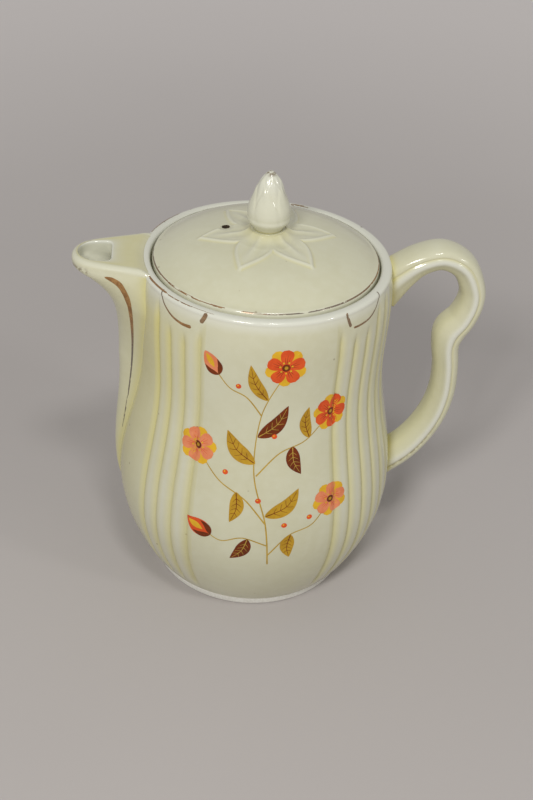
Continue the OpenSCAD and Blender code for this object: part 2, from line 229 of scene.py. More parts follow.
def spline(p, splits, closed=False):
    """A smooth curve through points, with so many steps between each two."""
    n = len(p)
    out = []
    for i in range(n if closed else n - 1):
        near = [i + k for k in (-1, 0, 1, 2)]
        a, b, c, d = (p[k % n] if closed else p[min(n - 1, max(0, k))] for k in near)
        for t in np.arange(splits) / splits:
            out.append(0.5 * (2 * b + (c - a) * t + (2 * a - 5 * b + 4 * c - d) * t ** 2
                              + (3 * b - a - 3 * c + d) * t ** 3))
    return np.array(out if closed else out + [p[-1]])


def run_length(pts):
    """Distance along a row of points, from its first."""
    return np.concatenate([[0], np.cumsum(np.linalg.norm(np.diff(pts, axis=0), axis=1))])


def turned(v):
    """Planar vectors, turned by a quarter."""
    return np.stack([-v[..., 1], v[..., 0]], -1)


def normals(xy):
    """Unit normals of a planar curve."""
    along = np.gradient(xy, axis=0)
    return turned(along / np.linalg.norm(along, axis=1)[:, None])


def curve_frame(control, n=200):
    """A smooth planar curve by arc length: points, unit normals and total length."""
    pts = spline(np.asarray(control, float), 24)
    d = run_length(pts)
    s = np.linspace(0, d[-1], n)
    xy = np.column_stack([np.interp(s, d, v) for v in pts.T])
    return xy, normals(xy), d[-1]


def polar(r, t, z):
    """Points at a radius, an angle and a height."""
    return np.stack(np.broadcast_arrays(r * np.cos(t), r * np.sin(t), z), -1)


def revolve(profile, angles):
    """Points of a revolved profile, row by row."""
    return polar(profile[:, :1], np.radians(angles), profile[:, 1:])


def arc(cx, cz, r, a0, a1, n):
    t = np.radians(np.linspace(a0, a1, n))
    return [(cx + r * math.cos(a), cz + r * math.sin(a)) for a in t]


def corner(x, z, r, a0, a1, n):
    """A right-angled corner at a point, rounded by an arc between two angles."""
    mid = math.radians((a0 + a1) / 2)
    return arc(x - math.copysign(r, math.cos(mid)), z - math.copysign(r, math.sin(mid)), r, a0, a1, n)


# Shape of the body

def body_r(z):
    z = np.asarray(z, float)
    low = BASE_R + (BELLY_R - BASE_R) * np.sin(
        np.pi / 2 * clamp((z - BODY_Z) / (BELLY_Z - BODY_Z))) ** BELLY_CURVE
    mid = wave(BELLY_R, WAIST_R, clamp((z - BELLY_Z) / (WAIST_Z - BELLY_Z)))
    high = wave(WAIST_R, SHOULDER_R, clamp((z - WAIST_Z) / (SHOULDER_Z - WAIST_Z)))
    top = SHOULDER_R - (SHOULDER_R - RIM_R) * clamp((z - SHOULDER_Z) / (RIM_Z - SHOULDER_Z)) ** 2
    upper = np.where(z < WAIST_Z, mid, np.where(z < SHOULDER_Z, high, top))
    return np.where(z < BELLY_Z, low, upper) - SKIN


def wall_in(z):
    """Radius of the inner wall."""
    return body_r(z) - WALL


def rim_point(psi, lift=0.0):
    """Radius and height on the rounded rim, from 0 outside to 180 degrees in the mouth."""
    c, s = np.cos(np.radians(psi)), np.sin(np.radians(psi))
    r = RIM_MID + (RIM_HALF + lift) * np.sign(c) * np.abs(c) ** RIM_POWER
    return r, RIM_TURN_Z + (RIM_Z - RIM_TURN_Z + lift) * np.abs(s) ** RIM_POWER


def off_angle(phi, at):
    """How far an angle is from another, in degrees."""
    return np.abs((phi - at + 180) % 360 - 180)


def panel_angle(phi):
    """Angle from the nearer panel's centre, below zero on the spout's side."""
    phi = (phi + 180) % 360 - 180
    return np.where(phi < 0, phi + 90, 90 - phi)


def last_reed(a):
    """Number of the last groove on this side of the panel."""
    return np.where(a < 0, REEDS_SPOUT, REEDS_HANDLE) - 1


def reed_shape(a):
    """0 on a crown and on the plain wall, 1 in a groove. The angle runs from a panel's centre."""
    last = last_reed(a)
    k = (np.abs(a) - PANEL_HALF) / REED_PITCH
    before = clamp(1 + k * REED_PITCH / REED_EDGE) ** 2
    after = clamp(1 - (k - last) * REED_PITCH / REED_EDGE) ** 2
    between = (2 * np.abs(k - np.floor(k) - 0.5)) ** 4
    return np.where(k < 0, before, np.where(k > last, after, between))


def reed_fade(a, z):
    """Share of a groove's depth: it fades at the foot and under the scallops."""
    top = REED_TOP_Z - SCALLOP_DROP * arch(((np.abs(a) - SCALLOP_MID) / SCALLOP_HALF) ** 2)
    return smooth((z - REED_Z) / REED_FADE) * smooth((top - z) / REED_FADE)


def reed_depth(a, z):
    return REED_D * reed_shape(a) * reed_fade(a, z)


# Shape of the spout

def ridge_x(z):
    return body_r(z) + SPOUT_PROUD * clamp((z - SPOUT_Z) / (FLARE_Z - SPOUT_Z))


def nose_x(z):
    flare = SPOUT_REACH - LIP_ROUND - ridge_x(LIP_Z)
    sunk = 0.3 * (1 - smooth((z - SPOUT_Z) / 12))
    return (ridge_x(np.minimum(z, LIP_Z)) + flare * clamp((z - FLARE_Z) / (LIP_Z - FLARE_Z)) ** FLARE_POWER
            + LIP_ROUND * np.sin(np.pi / 2 * clamp((z - LIP_Z) / (LIP_H / 2))) - sunk)


def spread(z):
    """Half of the angle that the spout takes up on the body."""
    return (SPOUT_SPREAD * clamp((z - SPOUT_Z) / (SHOULDER_Z - SPOUT_Z)) ** 1.25
            * (1 - 0.16 * smooth((z - SHOULDER_Z) / (DECK_Z - SHOULDER_Z))))


def root_x(z):
    return body_r(z) * np.cos(np.radians(spread(z)))


def root_w(z):
    return body_r(z) * np.sin(np.radians(spread(z)))


def beak_share(z):
    return smooth((z - FLARE_Z) / (LIP_Z - FLARE_Z))


def spout_half(x, z, t):
    """Half width of the spout at a distance out and a height, for a skin this far inside."""
    thin = 0.5
    beak = np.minimum(0.6 * root_w(z), NOSE_W + (BEAK_W - NOSE_W) * beak_share(z))
    s = clamp((x - root_x(z)) / (nose_x(z) - t - root_x(z)))
    root = np.maximum(thin, root_w(z) - t)
    beak = np.maximum(thin, beak - t)
    return (root - beak) * (1 - s) ** 1.3 + beak * arch(s ** (3 + 4 * beak_share(z)))


# Meshes

def link(name, data):
    obj = bpy.data.objects.new(name, data)
    bpy.context.scene.collection.objects.link(obj)
    return obj


def quads(n_rows, n_cols, wrap=True, flip=False, keep=None):
    """Faces between the rows of a grid of points. keep is a mask of the faces, row by column."""
    cols = n_cols if wrap else n_cols - 1
    i, j = np.meshgrid(np.arange(n_rows - 1), np.arange(cols), indexing="ij")
    a = i * n_cols + j
    b = i * n_cols + (j + 1) % n_cols
    f = np.stack([a, b, b + n_cols, a + n_cols], -1)
    if flip:
        f = f[..., ::-1]
    return f.reshape(-1, 4) if keep is None else f[keep]


def mend(mesh, weld=False, bridge=False, turn_out=False, slivers=False):
    """Welds doubled points, joins two open edges by a strip, turns faces outward, takes slivers away."""
    bm = bmesh.new()
    bm.from_mesh(mesh)
    if weld:
        bmesh.ops.remove_doubles(bm, verts=bm.verts, dist=1e-7)
    if bridge:
        bmesh.ops.bridge_loops(bm, edges=[e for e in bm.edges if e.is_boundary])
    if turn_out:
        bmesh.ops.recalc_face_normals(bm, faces=bm.faces)
    if slivers:
        bmesh.ops.dissolve_degenerate(bm, edges=bm.edges, dist=1e-6)
    bm.to_mesh(mesh)
    bm.free()


def make_mesh(name, points, faces, materials, attrs=None, face_mats=None, **mends):
    """A smooth-shaded object from points in millimetres. attrs are values of the points, from 0 to 1."""
    mesh = bpy.data.meshes.new(name)
    faces = faces.tolist() if isinstance(faces, np.ndarray) else faces
    mesh.from_pydata((np.asarray(points).reshape(-1, 3) * MM).tolist(), [], faces)
    for key in ("pool", "edge", "stain_and_shade"):
        layer = mesh.attributes.new(key, "FLOAT", "POINT")
        if attrs and key in attrs:
            values = np.broadcast_to(clamp(attrs[key]), np.shape(points)[:-1])
            layer.data.foreach_set("value", values.astype(np.float32).ravel())
    for mat in materials:
        mesh.materials.append(mat)
    if face_mats is not None:
        mesh.polygons.foreach_set("material_index", np.asarray(face_mats, np.int32).ravel())
    mesh.polygons.foreach_set("use_smooth", np.ones(len(mesh.polygons), bool))
    if mends:
        mend(mesh, **mends)
    mesh.update()
    return link(name, mesh)


def cut_out(obj, cutter):
    """Takes the cutter's solid out of the object, and deletes the cutter."""
    mod = obj.modifiers.new("cut", "BOOLEAN")
    mod.operation = "DIFFERENCE"
    mod.solver = "EXACT"
    if cutter.data.materials:
        mod.material_mode = "TRANSFER"
    mod.object = cutter
    bpy.context.view_layer.update()
    result = bpy.data.meshes.new_from_object(obj.evaluated_get(bpy.context.evaluated_depsgraph_get()))
    mend(result, slivers=True)
    obj.modifiers.clear()
    old = obj.data
    obj.data = result
    result.name = old.name
    bpy.data.meshes.remove(old)
    bpy.data.objects.remove(cutter)


def prism(name, outline, length, place, material=None):
    """A closed prism on an outline in its own XY plane, moved by a matrix."""
    n = len(outline)
    pts = [(x, y, z) for z in (0, length) for x, y in outline]
    faces = [[i, (i + 1) % n, n + (i + 1) % n, n + i] for i in range(n)]
    faces += [list(range(n))[::-1], list(range(n, 2 * n))]
    mesh = bpy.data.meshes.new(name)
    mesh.from_pydata([tuple((place @ Vector(p)) * MM) for p in pts], [], faces)
    if material:
        mesh.materials.append(material)
    return link(name, mesh)


# Materials

def srgb(r, g, b):
    """An sRGB colour, 0 to 255, as the linear colour that shader sockets take."""
    def lin(c):
        c /= 255.0
        return c / 12.92 if c <= 0.04045 else ((c + 0.055) / 1.055) ** 2.4
    return (lin(r), lin(g), lin(b), 1.0)


def feed(socket, value):
    """Links a socket to an output, or sets its constant value."""
    if isinstance(value, bpy.types.NodeSocket):
        socket.id_data.links.new(value, socket)
    else:
        socket.default_value = value


def set_inputs(node, **inputs):
    """Feeds a node's inputs by name, with an underscore for each space."""
    for name, value in inputs.items():
        feed(node.inputs[name.replace("_", " ")], value)


def add_node(tree, kind, **inputs):
    node = tree.nodes.new("ShaderNode" + kind)
    set_inputs(node, **inputs)
    return node


def new_material(name):
    mat = bpy.data.materials.new(name)
    mat.use_nodes = True
    tree = mat.node_tree
    tree.nodes.clear()
    bsdf = add_node(tree, "BsdfPrincipled")
    add_node(tree, "OutputMaterial", Surface=bsdf.outputs["BSDF"])
    return mat, tree, bsdf


def place_on(tree):
    return add_node(tree, "TexCoord").outputs["Object"]


def noise(tree, scale, detail, rough=0.5):
    node = add_node(tree, "TexNoise", Scale=scale, Detail=detail, Roughness=rough, Vector=place_on(tree))
    return node.outputs["Fac"]


def attribute(tree, name):
    node = add_node(tree, "Attribute")
    node.attribute_name = name
    return node.outputs["Fac"]


def ramp(fac, lo, hi, out_lo=0.0, out_hi=1.0):
    node = add_node(fac.id_data, "MapRange", Value=fac, From_Min=lo, From_Max=hi)
    set_inputs(node, To_Min=out_lo, To_Max=out_hi)
    node.interpolation_type = "SMOOTHSTEP"
    return node.outputs["Result"]


def mix(fac, a, b):
    node = add_node(fac.id_data, "Mix", Factor=fac)
    node.data_type = "RGBA"
    for socket, value in zip([s for s in node.inputs if s.type == "RGBA"], (a, b)):
        feed(socket, value)
    return [s for s in node.outputs if s.type == "RGBA"][0]


def maths(operation, a, b):
    node = add_node(a.id_data, "Math")
    node.operation = operation
    for socket, value in zip(node.inputs, (a, b)):
        feed(socket, value)
    return node.outputs["Value"]


def times(a, b):
    return maths("MULTIPLY", a, b)


def two_tones(tree, a, b, scale, detail, rough=0.5, lo=0.3, hi=0.7):
    """Two colours in patches."""
    return mix(ramp(noise(tree, scale, detail, rough), lo, hi), a, b)


def uneven(tree, scale, low, high):
    """A value that wanders between two."""
    return ramp(noise(tree, scale, 3.0), 0.3, 0.7, low, high)


def bump(bsdf, scale, detail, strength, distance):
    height = noise(bsdf.id_data, scale, detail)
    node = add_node(bsdf.id_data, "Bump", Height=height, Strength=strength, Distance=distance)
    set_inputs(bsdf, Normal=node.outputs["Normal"])


def pinholes(tree):
    """Small dots in a few of many cells."""
    cells = add_node(tree, "TexVoronoi", Scale=150.0, Vector=place_on(tree))
    dots = ramp(cells.outputs["Distance"], 0.05, 0.11, 1.0, 0.0)
    parts = add_node(tree, "SeparateColor", Color=cells.outputs["Color"])
    few = ramp(parts.outputs["Red"], 0.90, 0.93)
    return times(times(dots, few), 0.5)


def glaze_material():
    """Ivory glaze: thin and pale on edges, honey-coloured where it pools, with a few pinholes. The pale
    colour also paints a highlight on the handle's bead, the honey colour a tan shade beside the spout, and
    the dark stain colour a shade in the handle's groove.
    """
    mat, tree, bsdf = new_material("ivory_glaze")
    colour = two_tones(tree, srgb(207, 205, 178), srgb(200, 197, 167), 22.0, 3.0)
    mottle = ramp(noise(tree, 260.0, 3.0), 0.35, 0.75, 0.0, 0.22)
    colour = mix(mottle, colour, srgb(213, 212, 190))
    # The pale colour paints thin glaze on edges, and also the painted highlight along the handle's bead
    colour = mix(attribute(tree, "edge"), colour, srgb(216, 216, 203))
    # The honey colour paints pooled glaze, and also a painted tan shade and reflection beside the spout
    colour = mix(times(attribute(tree, "pool"), 0.9), colour, srgb(203, 193, 114))
    colour = mix(pinholes(tree), colour, srgb(120, 100, 70))
    # The dark colour paints real stains, and also the painted shade in the handle's lower groove
    grime_and_shade = times(attribute(tree, "stain_and_shade"), ramp(noise(tree, 700.0, 3.0), 0.38, 0.6))
    colour = mix(grime_and_shade, colour, srgb(104, 84, 56))
    set_inputs(bsdf, Base_Color=colour, Roughness=uneven(tree, 60.0, 0.10, 0.19), IOR=1.5)
    bump(bsdf, 55.0, 2.0, 0.22, 0.0006)
    return mat


def vent_material():
    """The stained, unglazed wall of the vent."""
    mat, tree, bsdf = new_material("stained_vent")
    colour = two_tones(tree, srgb(74, 58, 42), srgb(52, 40, 30), 1200.0, 3.0)
    set_inputs(bsdf, Base_Color=colour, Roughness=0.7)
    return mat


def foot_material():
    """The dry clay that the foot stands on."""
    mat, tree, bsdf = new_material("bare_foot")
    colour = two_tones(tree, srgb(230, 228, 219), srgb(218, 215, 204), 900.0, 4.0)
    set_inputs(bsdf, Base_Color=colour, Roughness=0.45)
    bump(bsdf, 1800.0, 3.0, 0.2, 0.0002)
    return mat


def gilt_material():
    """Worn gilding: brown-gold, scuffed by washing, grey where it is worn thin."""
    mat, tree, bsdf = new_material("worn_gilt")
    colour = two_tones(tree, srgb(140, 100, 56), srgb(174, 132, 80), 420.0, 4.0, 0.65, lo=0.35)
    colour = mix(attribute(tree, "stain_and_shade"), colour, srgb(118, 110, 98))
    set_inputs(bsdf, Base_Color=colour, Roughness=uneven(tree, 300.0, 0.22, 0.42), Metallic=0.3)
    bump(bsdf, 1500.0, 2.0, 0.1, 0.0001)
    return mat


def enamel_material(name, main, deep):
    """A printed enamel colour under the gloss, a little uneven like a transfer print."""
    mat, tree, bsdf = new_material(name)
    colour = two_tones(tree, srgb(*main), srgb(*deep), 190.0, 4.0, 0.6, lo=0.32)
    rough = uneven(tree, 500.0, 0.16, 0.28)
    set_inputs(bsdf, Base_Color=colour, Roughness=rough, Specular_IOR_Level=0.3)
    bump(bsdf, 900.0, 3.0, 0.08, 0.0001)
    return mat


glaze = glaze_material()
bare_foot = foot_material()
stained_vent = vent_material()
gilt = gilt_material()


# Pot body

# Strength of pooled glaze in the grooves, along the spout, round the roots and at the foot, and of the
# painted tan shade and reflection on the wall beside the spout
GROOVE_POOL = 0.54
SEAM_POOL = 0.2
BAND_SHADE = 0.52
ROOT_POOL = 0.6
FOOT_POOL = 0.35
SEAM_REACH = 2.2
BAND_REACH = 42.0
FOOT_REACH = 1.2
# Height and half height of each root of the handle, and the half width of both
ROOTS = ((ROOT_HIGH_Z, 11.0), (ROOT_LOW_Z, 10.0))
ROOT_HALF_W = 9.0
# Degrees between points on the plain wall towards the spout and the handle
PLAIN_STEP = 1.6
# Length of the cutters of the port and the vent
CUT_LENGTH = 30.0


def body_angles():
    """Angles round the body: close together over the reeds, wider on the panels."""
    def side(count):
        first = PANEL_HALF - REED_EDGE
        last = PANEL_HALF + (count - 1) * REED_PITCH
        end = last + REED_EDGE
        return stretches((0, first, 15), (first, PANEL_HALF, 8), (PANEL_HALF, last, (count - 1) * 16 + 1),
                         (last, end, 8), (end, 90, int((90 - end) / PLAIN_STEP)))
    half = np.concatenate([-side(REEDS_SPOUT)[:0:-1], side(REEDS_HANDLE)])
    return np.concatenate([half - 90, (90 - half)[-2:0:-1]])


def foot_profile():
    """From the middle of the recess, round the ring that the pot stands on, up to the wall."""
    return ([(r, FOOT_RECESS) for r in (0, RECESS_MID_R, FOOT_IN_R - RECESS_ROUND)]
            + corner(FOOT_IN_R, FOOT_RECESS, RECESS_ROUND, 60, 0, 3)
            + corner(FOOT_IN_R, 0, FOOT_IN_ROUND, 180, 270, 5)
            + corner(FOOT_R, 0, FOOT_ROUND, 270, 360, 6)
            + [(FOOT_R + out, z) for out, z in FOOT_STEP])


def wall_profile():
    """Rows up the wall, closer together at the foot and under the rim."""
    zs = stretches((BODY_Z, 12, 9), (12, 150, 104), (150, RIM_TURN_Z, 18))
    return [(body_r(z), z) for z in zs]


def inside_profile():
    """From the mouth over the ledge and down the inner wall to the middle of the floor."""
    lean_z = LEDGE_UNDER_Z - (wall_in(LEDGE_UNDER_Z) - LEDGE_R)
    corner_z = FLOOR_Z + FLOOR_ROUND
    return ([(MOUTH_R, RIM_TURN_Z - 0.4), (MOUTH_R, SEAT_Z + 1.1)]
            + corner(MOUTH_R, SEAT_Z, SEAT_FILLET, 0, -90, 5)
            + corner(LEDGE_R, SEAT_Z, LEDGE_ROUND, 90, 180, 5)
            + [(LEDGE_R, SEAT_Z - 1.8)]
            + corner(LEDGE_R, LEDGE_UNDER_Z, LEDGE_LOW_ROUND, 180, 225, 4)
            + [(wall_in(z) - (z - lean_z), z) for z in np.linspace(LEDGE_UNDER_Z - 0.5, lean_z, 5)]
            + [(wall_in(z), z) for z in np.linspace(lean_z - 1, corner_z, 24)]
            + corner(wall_in(corner_z), FLOOR_Z, FLOOR_ROUND, -5, -90, 9)
            + [(FLOOR_MID_R, FLOOR_Z), (0, FLOOR_Z)])


def body_pool_and_shade(angles, z):
    """How thick the glaze lies on the outside, with a painted tan shade and reflection beside the spout."""
    a = panel_angle(angles)
    pool = GROOVE_POOL * reed_shape(a) ** 0.32 * reed_fade(a, z)
    gap = (off_angle(angles, 180) - spread(np.clip(z, 0, RIM_Z))) * np.radians(body_r(z))
    pool += SEAM_POOL * bell(gap / SEAM_REACH) * smooth((z - SPOUT_Z - 12) / 15)
    # Painted shade: a tan tint on the wall beside the spout stands in for shade and a tan reflection on the
    # side turned from the light
    pool += (BAND_SHADE * clamp(1 - gap / BAND_REACH) * (gap > 0) * smooth((z - 10) / 30)
             * (1 - smooth((z - 150) / 10)))
    from_handle = off_angle(angles, 0) * np.radians(1) * body_r(z)
    for root_z, root_half in ROOTS:
        d = np.hypot(from_handle / ROOT_HALF_W, (z - root_z) / root_half)
        pool += ROOT_POOL * bell((d - 1.02) / 0.16)
    return pool + FOOT_POOL * bell((z - BODY_Z) / FOOT_REACH)


def body_edge(angles, z):
    """How thin the glaze lies on the outside: on the reeds' crowns and towards the rim."""
    a = panel_angle(angles)
    reeded = (np.abs(a) > PANEL_HALF - 2) & (np.abs(a) < PANEL_HALF + last_reed(a) * REED_PITCH + 2)
    return 0.3 * (1 - reed_shape(a) ** 0.5) * reed_fade(a, z) * reeded + 0.6 * smooth((z - 158) / 5)


def port_cutter():
    """A tall slot with round ends, which points through the wall behind the spout."""
    half = PORT_W / 2
    outline = arc(0, PORT_H - PORT_W, half, 0, 180, 17) + arc(0, 0, half, 180, 360, 17)
    place = Matrix.Translation((-BELLY_R - 1, 0, PORT_Z + half)) @ Matrix(
        ((0, 0, 1), (1, 0, 0), (0, 1, 0))).to_4x4()
    return prism("port_cutter", outline, CUT_LENGTH, place)


def build_body():
    rim_round = [rim_point(psi) for psi in np.linspace(6, 174, 27)]
    parts = [foot_profile(), wall_profile(), rim_round, inside_profile()]
    profile = np.array(sum(parts, []), float)
    part = np.repeat(np.arange(len(parts)), [len(p) for p in parts])[:, None]
    foot, outside, rim = (part == i for i in range(3))
    angles = body_angles()
    z = profile[:, 1:]
    pts = revolve(profile, angles)
    depth = reed_depth(panel_angle(angles), z) * outside
    pts[..., :2] *= (1 - depth / np.maximum(1e-9, profile[:, :1]))[..., None]
    pool = body_pool_and_shade(angles, z) * outside
    edge = body_edge(angles, z) * outside + 0.85 * rim + 0.5 * foot
    # The ring is bare from its inner edge to just under the wall
    mats = np.zeros((len(profile) - 1, len(angles)), int)
    mats[4:len(parts[0]) - 2] = 1
    obj = make_mesh("pot_skin", pts, quads(len(profile), len(angles)), [glaze, bare_foot],
                    {"pool": pool, "edge": edge}, mats, weld=True)
    cut_out(obj, port_cutter())
    return obj


# Spout

SPOUT_N = 44
SPOUT_BACK = 13
# Places along a side from 0 to 1, closest together at the nose
SPOUT_STEPS = np.sin(np.pi / 2 * np.arange(SPOUT_N + 1) / SPOUT_N)
# Between these heights the spout is open behind, for the port
OPEN_LOW_Z = PORT_Z - 1
OPEN_HIGH_Z = 141.0
DECK_TURN_Z = DECK_Z - DECK_ROUND
# The deck dips to the rim by this much, from this radius inward
DECK_DIP = 1.65
DECK_DIP_R = 57.5
DECK_DIP_RUN = 4.4
# From this height down, the mouth's outline passes into the spout's own
NECK_Z = 162.0
NECK_RUN = 19.0
# A worn, stained patch under the tip of the lip
LIP_STAIN = 0.7
LIP_STAIN_X = 76.0
LIP_STAIN_Z = 162.2


def close_back(u):
    """Closes a U-shaped section behind, along a circle round the pot's axis."""
    x, y = u[-1]
    r, t = math.hypot(x, y), math.atan2(y, -x)
    t = np.linspace(t, -t, SPOUT_BACK + 2)[1:-1]
    return np.concatenate([u, np.stack([-r * np.cos(t), r * np.sin(t)], 1)])


def both_sides(x, y):
    """From the near side's back to the nose, and on to the far side's back."""
    near = np.stack([-x, -y], 1)
    far = np.stack([-x, y], 1)[::-1][1:]
    return np.concatenate([near, far])


def spout_section(z, t, sunk):
    """The spout's outline, inset by a thickness, with its back sunk into the wall."""
    back = root_x(z) - sunk
    x = back + (nose_x(z) - t - back) * SPOUT_STEPS
    y = spout_half(x, z, t)
    y[-1] = 0
    return close_back(both_sides(x, y))


def mouth_section(z, out):
    """The mouth's outline, moved outward by a small distance."""
    x = DECK_BACK_X + (nose_x(z) - LIP_T - DECK_BACK_X) * SPOUT_STEPS
    turn = clamp(1 - (x - DECK_BACK_X) / MOUTH_ROUND)
    y = MOUTH_W * arch(SPOUT_STEPS ** 4) - MOUTH_ROUND * (1 - arch(turn ** 2))
    y[-1] = 0
    back = np.linspace(y[0], -y[0], SPOUT_BACK + 2)[1:-1]
    ring = np.concatenate([both_sides(x, y), np.stack([np.full(SPOUT_BACK, -DECK_BACK_X), back], 1)])
    along = np.roll(ring, -1, 0) - np.roll(ring, 1, 0)
    return ring + turned(along / (np.linalg.norm(along, axis=1)[:, None] + 1e-9)) * out


class Shell:
    """The spout's skin: rings of points, with the glaze of each and whether it is open behind."""

    def __init__(self):
        self.rows, self.pool, self.edge, self.open_back = [], [], [], []

    def add(self, ring, z, pool=0.0, edge=0.0, open_back=False):
        height = np.full(len(ring), float(z))
        if z > RIM_TURN_Z:
            # The deck dips to the rim and ends just under the rim's top
            r = np.hypot(ring[:, 0], ring[:, 1])
            height = np.minimum(height, DECK_Z - DECK_DIP * smooth((DECK_DIP_R - r) / DECK_DIP_RUN))
        self.rows.append(np.column_stack([ring, height]))
        self.pool.append(np.broadcast_to(pool, len(ring)))
        self.edge.append(np.broadcast_to(edge, len(ring)))
        self.open_back.append(open_back)

    def add_outside(self):
        """From the foot of the ridge up to the deck's edge."""
        for z in stretches((SPOUT_Z + 0.5, FLARE_Z, 40), (FLARE_Z, LIP_Z, 34), (LIP_Z, DECK_TURN_Z, 11)):
            ring = spout_section(z, 0.0, OUTSIDE_SUNK)
            out = np.clip(-ring[:, 0] - root_x(z), 0, None)
            # Pooled glaze in the crease at the root, and a broad tan tint down the flank that is painted
            # shade and reflection
            pool = 0.36 * bell(out / 2.4) + 0.34 * np.exp(-out / 9)
            nose = 0.35 * smooth((3.5 - np.abs(ring[:, 1])) / 3) * smooth((FLARE_Z + 25 - z) / 20)
            edge = nose + 0.15 * smooth((z - LIP_Z) / 4)
            self.add(ring, z, pool, edge, OPEN_LOW_Z <= z <= OPEN_HIGH_Z)

    def add_deck(self):
        """The deck's rounded edge, the deck and the rounded brim of the mouth."""
        for t in np.radians(np.linspace(0, 90, 10)[1:]):
            deck = spout_section(DECK_TURN_Z, DECK_ROUND * (1 - math.cos(t)), DECK_SUNK)
            # The edge is not quite even
            deck = deck * (1 - 0.0022 * value_noise(deck[:, :1] / 4.5, deck[:, 1:] / 40 + 3, 41))
            self.add(deck, DECK_TURN_Z + DECK_ROUND * math.sin(t), 0.1, 0.55 * math.sin(2 * t))
        mouth = mouth_section(DECK_Z, MOUTH_BRIM)
        for k in np.linspace(0, 1, 9)[1:]:
            self.add(deck * (1 - k) + mouth * k, DECK_Z, 0.42 * math.sin(math.pi * k) ** 0.7, 0.3 * k ** 4)
        for t in np.radians(np.linspace(0, 90, 7)[1:]):
            brim = mouth_section(DECK_Z, MOUTH_BRIM * (1 - math.sin(t)))
            self.add(brim, DECK_Z - MOUTH_BRIM * (1 - math.cos(t)), 0.0, 0.8)

    def add_channel(self):
        """From the mouth down to the port, and the bottom that closes the channel."""
        for z in np.linspace(DECK_Z - 1.6, OPEN_HIGH_Z + 1, 26):
            w = smooth((NECK_Z - z) / NECK_RUN)
            ring = mouth_section(z, 0.0) * (1 - w) + spout_section(z, SPOUT_WALL, CHANNEL_SUNK) * w
            self.add(ring, z, 0.0, 0.5)
        for z in np.linspace(OPEN_HIGH_Z, OPEN_LOW_Z, 30):
            ring = spout_section(z, SPOUT_WALL, CHANNEL_SUNK)
            self.add(ring, z, 0.15, 0.0, True)
        self.add(np.broadcast_to(ring.mean(0), ring.shape), OPEN_LOW_Z - 1, 0.2)


def build_spout():
    shell = Shell()
    shell.add_outside()
    # The stain ends on the deck's rounded edge
    stained_rows = len(shell.rows) + 6
    shell.add_deck()
    shell.add_channel()
    pts = np.array(shell.rows)
    n_rows, n_cols = pts.shape[:2]
    is_open = np.array(shell.open_back)
    keep = np.ones((n_rows - 1, n_cols), bool)
    keep[is_open[:-1] & is_open[1:], 2 * SPOUT_N:] = False
    x, y, z = np.moveaxis(pts, -1, 0)
    stain_and_shade = LIP_STAIN * bell((z - LIP_STAIN_Z) / 1.1) * smooth((-x - LIP_STAIN_X) / 3) * smooth((2 - y) / 4)
    stain_and_shade[stained_rows:] = 0
    return make_mesh("spout_skin", pts, quads(n_rows, n_cols, flip=True, keep=keep), [glaze],
                     {"pool": shell.pool, "edge": shell.edge, "stain_and_shade": stain_and_shade},
                     weld=True, bridge=True)


# Handle

# Distance out, height and thickness along the loop, as in the part's source
LOOP = np.array([
    [-0.12, 0.95, 1.7], [0.08, 1.045, 1.3], [0.27, 1.112, 1.05], [0.50, 1.14, 0.98], [0.72, 1.09, 0.95],
    [0.84, 0.985, 0.93], [0.85, 0.90, 0.96], [0.785, 0.812, 1.04], [0.68, 0.74, 1.18], [0.655, 0.662, 1.02],
    [0.69, 0.54, 0.96], [0.695, 0.40, 0.97], [0.635, 0.265, 1.00], [0.50, 0.135, 1.05], [0.315, 0.03, 1.14],
    [0.05, -0.055, 1.38], [-0.12, -0.095, 1.55]])
# Half of the grip's section: a broad outer band, a groove, a thick bead, and sides that taper inward
GRIP_HALF = np.array([
    [0.5, 0.0], [0.485, 0.15], [0.445, 0.28], [0.385, 0.375], [0.305, 0.432], [0.235, 0.452], [0.18, 0.446],
    [0.145, 0.464], [0.10, 0.49], [0.03, 0.5], [-0.05, 0.49], [-0.12, 0.46], [-0.19, 0.42],
    [-0.29, 0.37], [-0.39, 0.305], [-0.455, 0.22], [-0.49, 0.12], [-0.5, 0.0]])
# Places of the groove and the bead in the section
GRIP_GROOVE = 0.18
GRIP_BEAD = 0.02
# Painted shade lies in the groove below this height
GROOVE_SHADE_Z = 92.0


def loop_path():
    """Place and thickness along the middle of the grip."""
    out, height, thick = LOOP.T
    top = height.argmax()
    root = body_r(ROOT_HIGH_Z)
    rise = RIM_Z + HANDLE_RISE - GRIP_T * thick[top] / 2 - ROOT_HIGH_Z
    x = root + out * (HANDLE_REACH - root)
    z = np.where(height <= 1, ROOT_LOW_Z + height * (ROOT_HIGH_Z - ROOT_LOW_Z),
                 ROOT_HIGH_Z + (height - 1) / (height[top] - 1) * rise)
    return spline(np.column_stack([x, z, thick * GRIP_T]), 11)


def grip_glaze(section, path, gap):
    """Pool, pale edge with a painted highlight on the bead, and stain with a painted shade in the groove,
    of the handle. The gap is the distance from the pot's wall.
    """
    side = np.abs(section[:, 1]) > 0.37
    # The white along the bead is partly paler glaze and partly a painted highlight, wider than the bead
    # itself
    bead_highlight = bell((section[:, 0] - GRIP_BEAD) / 0.11) * side
    groove = bell((section[:, 0] - GRIP_GROOVE) / 0.04) * side
    inner = clamp(-section[:, 0] * 2.2) * 0.22
    pool = 0.65 * bell(gap / 1.6) + 0.12 * np.exp(-gap / 8) + inner + 0.3 * groove
    # Painted shade: the dark stain colour in the lower groove stands in for shade in the crease
    low = smooth((GROOVE_SHADE_Z - path[:, 1:2]) / 30)
    return {"pool": pool, "edge": 0.9 * bead_highlight, "stain_and_shade": 0.55 * groove * low}


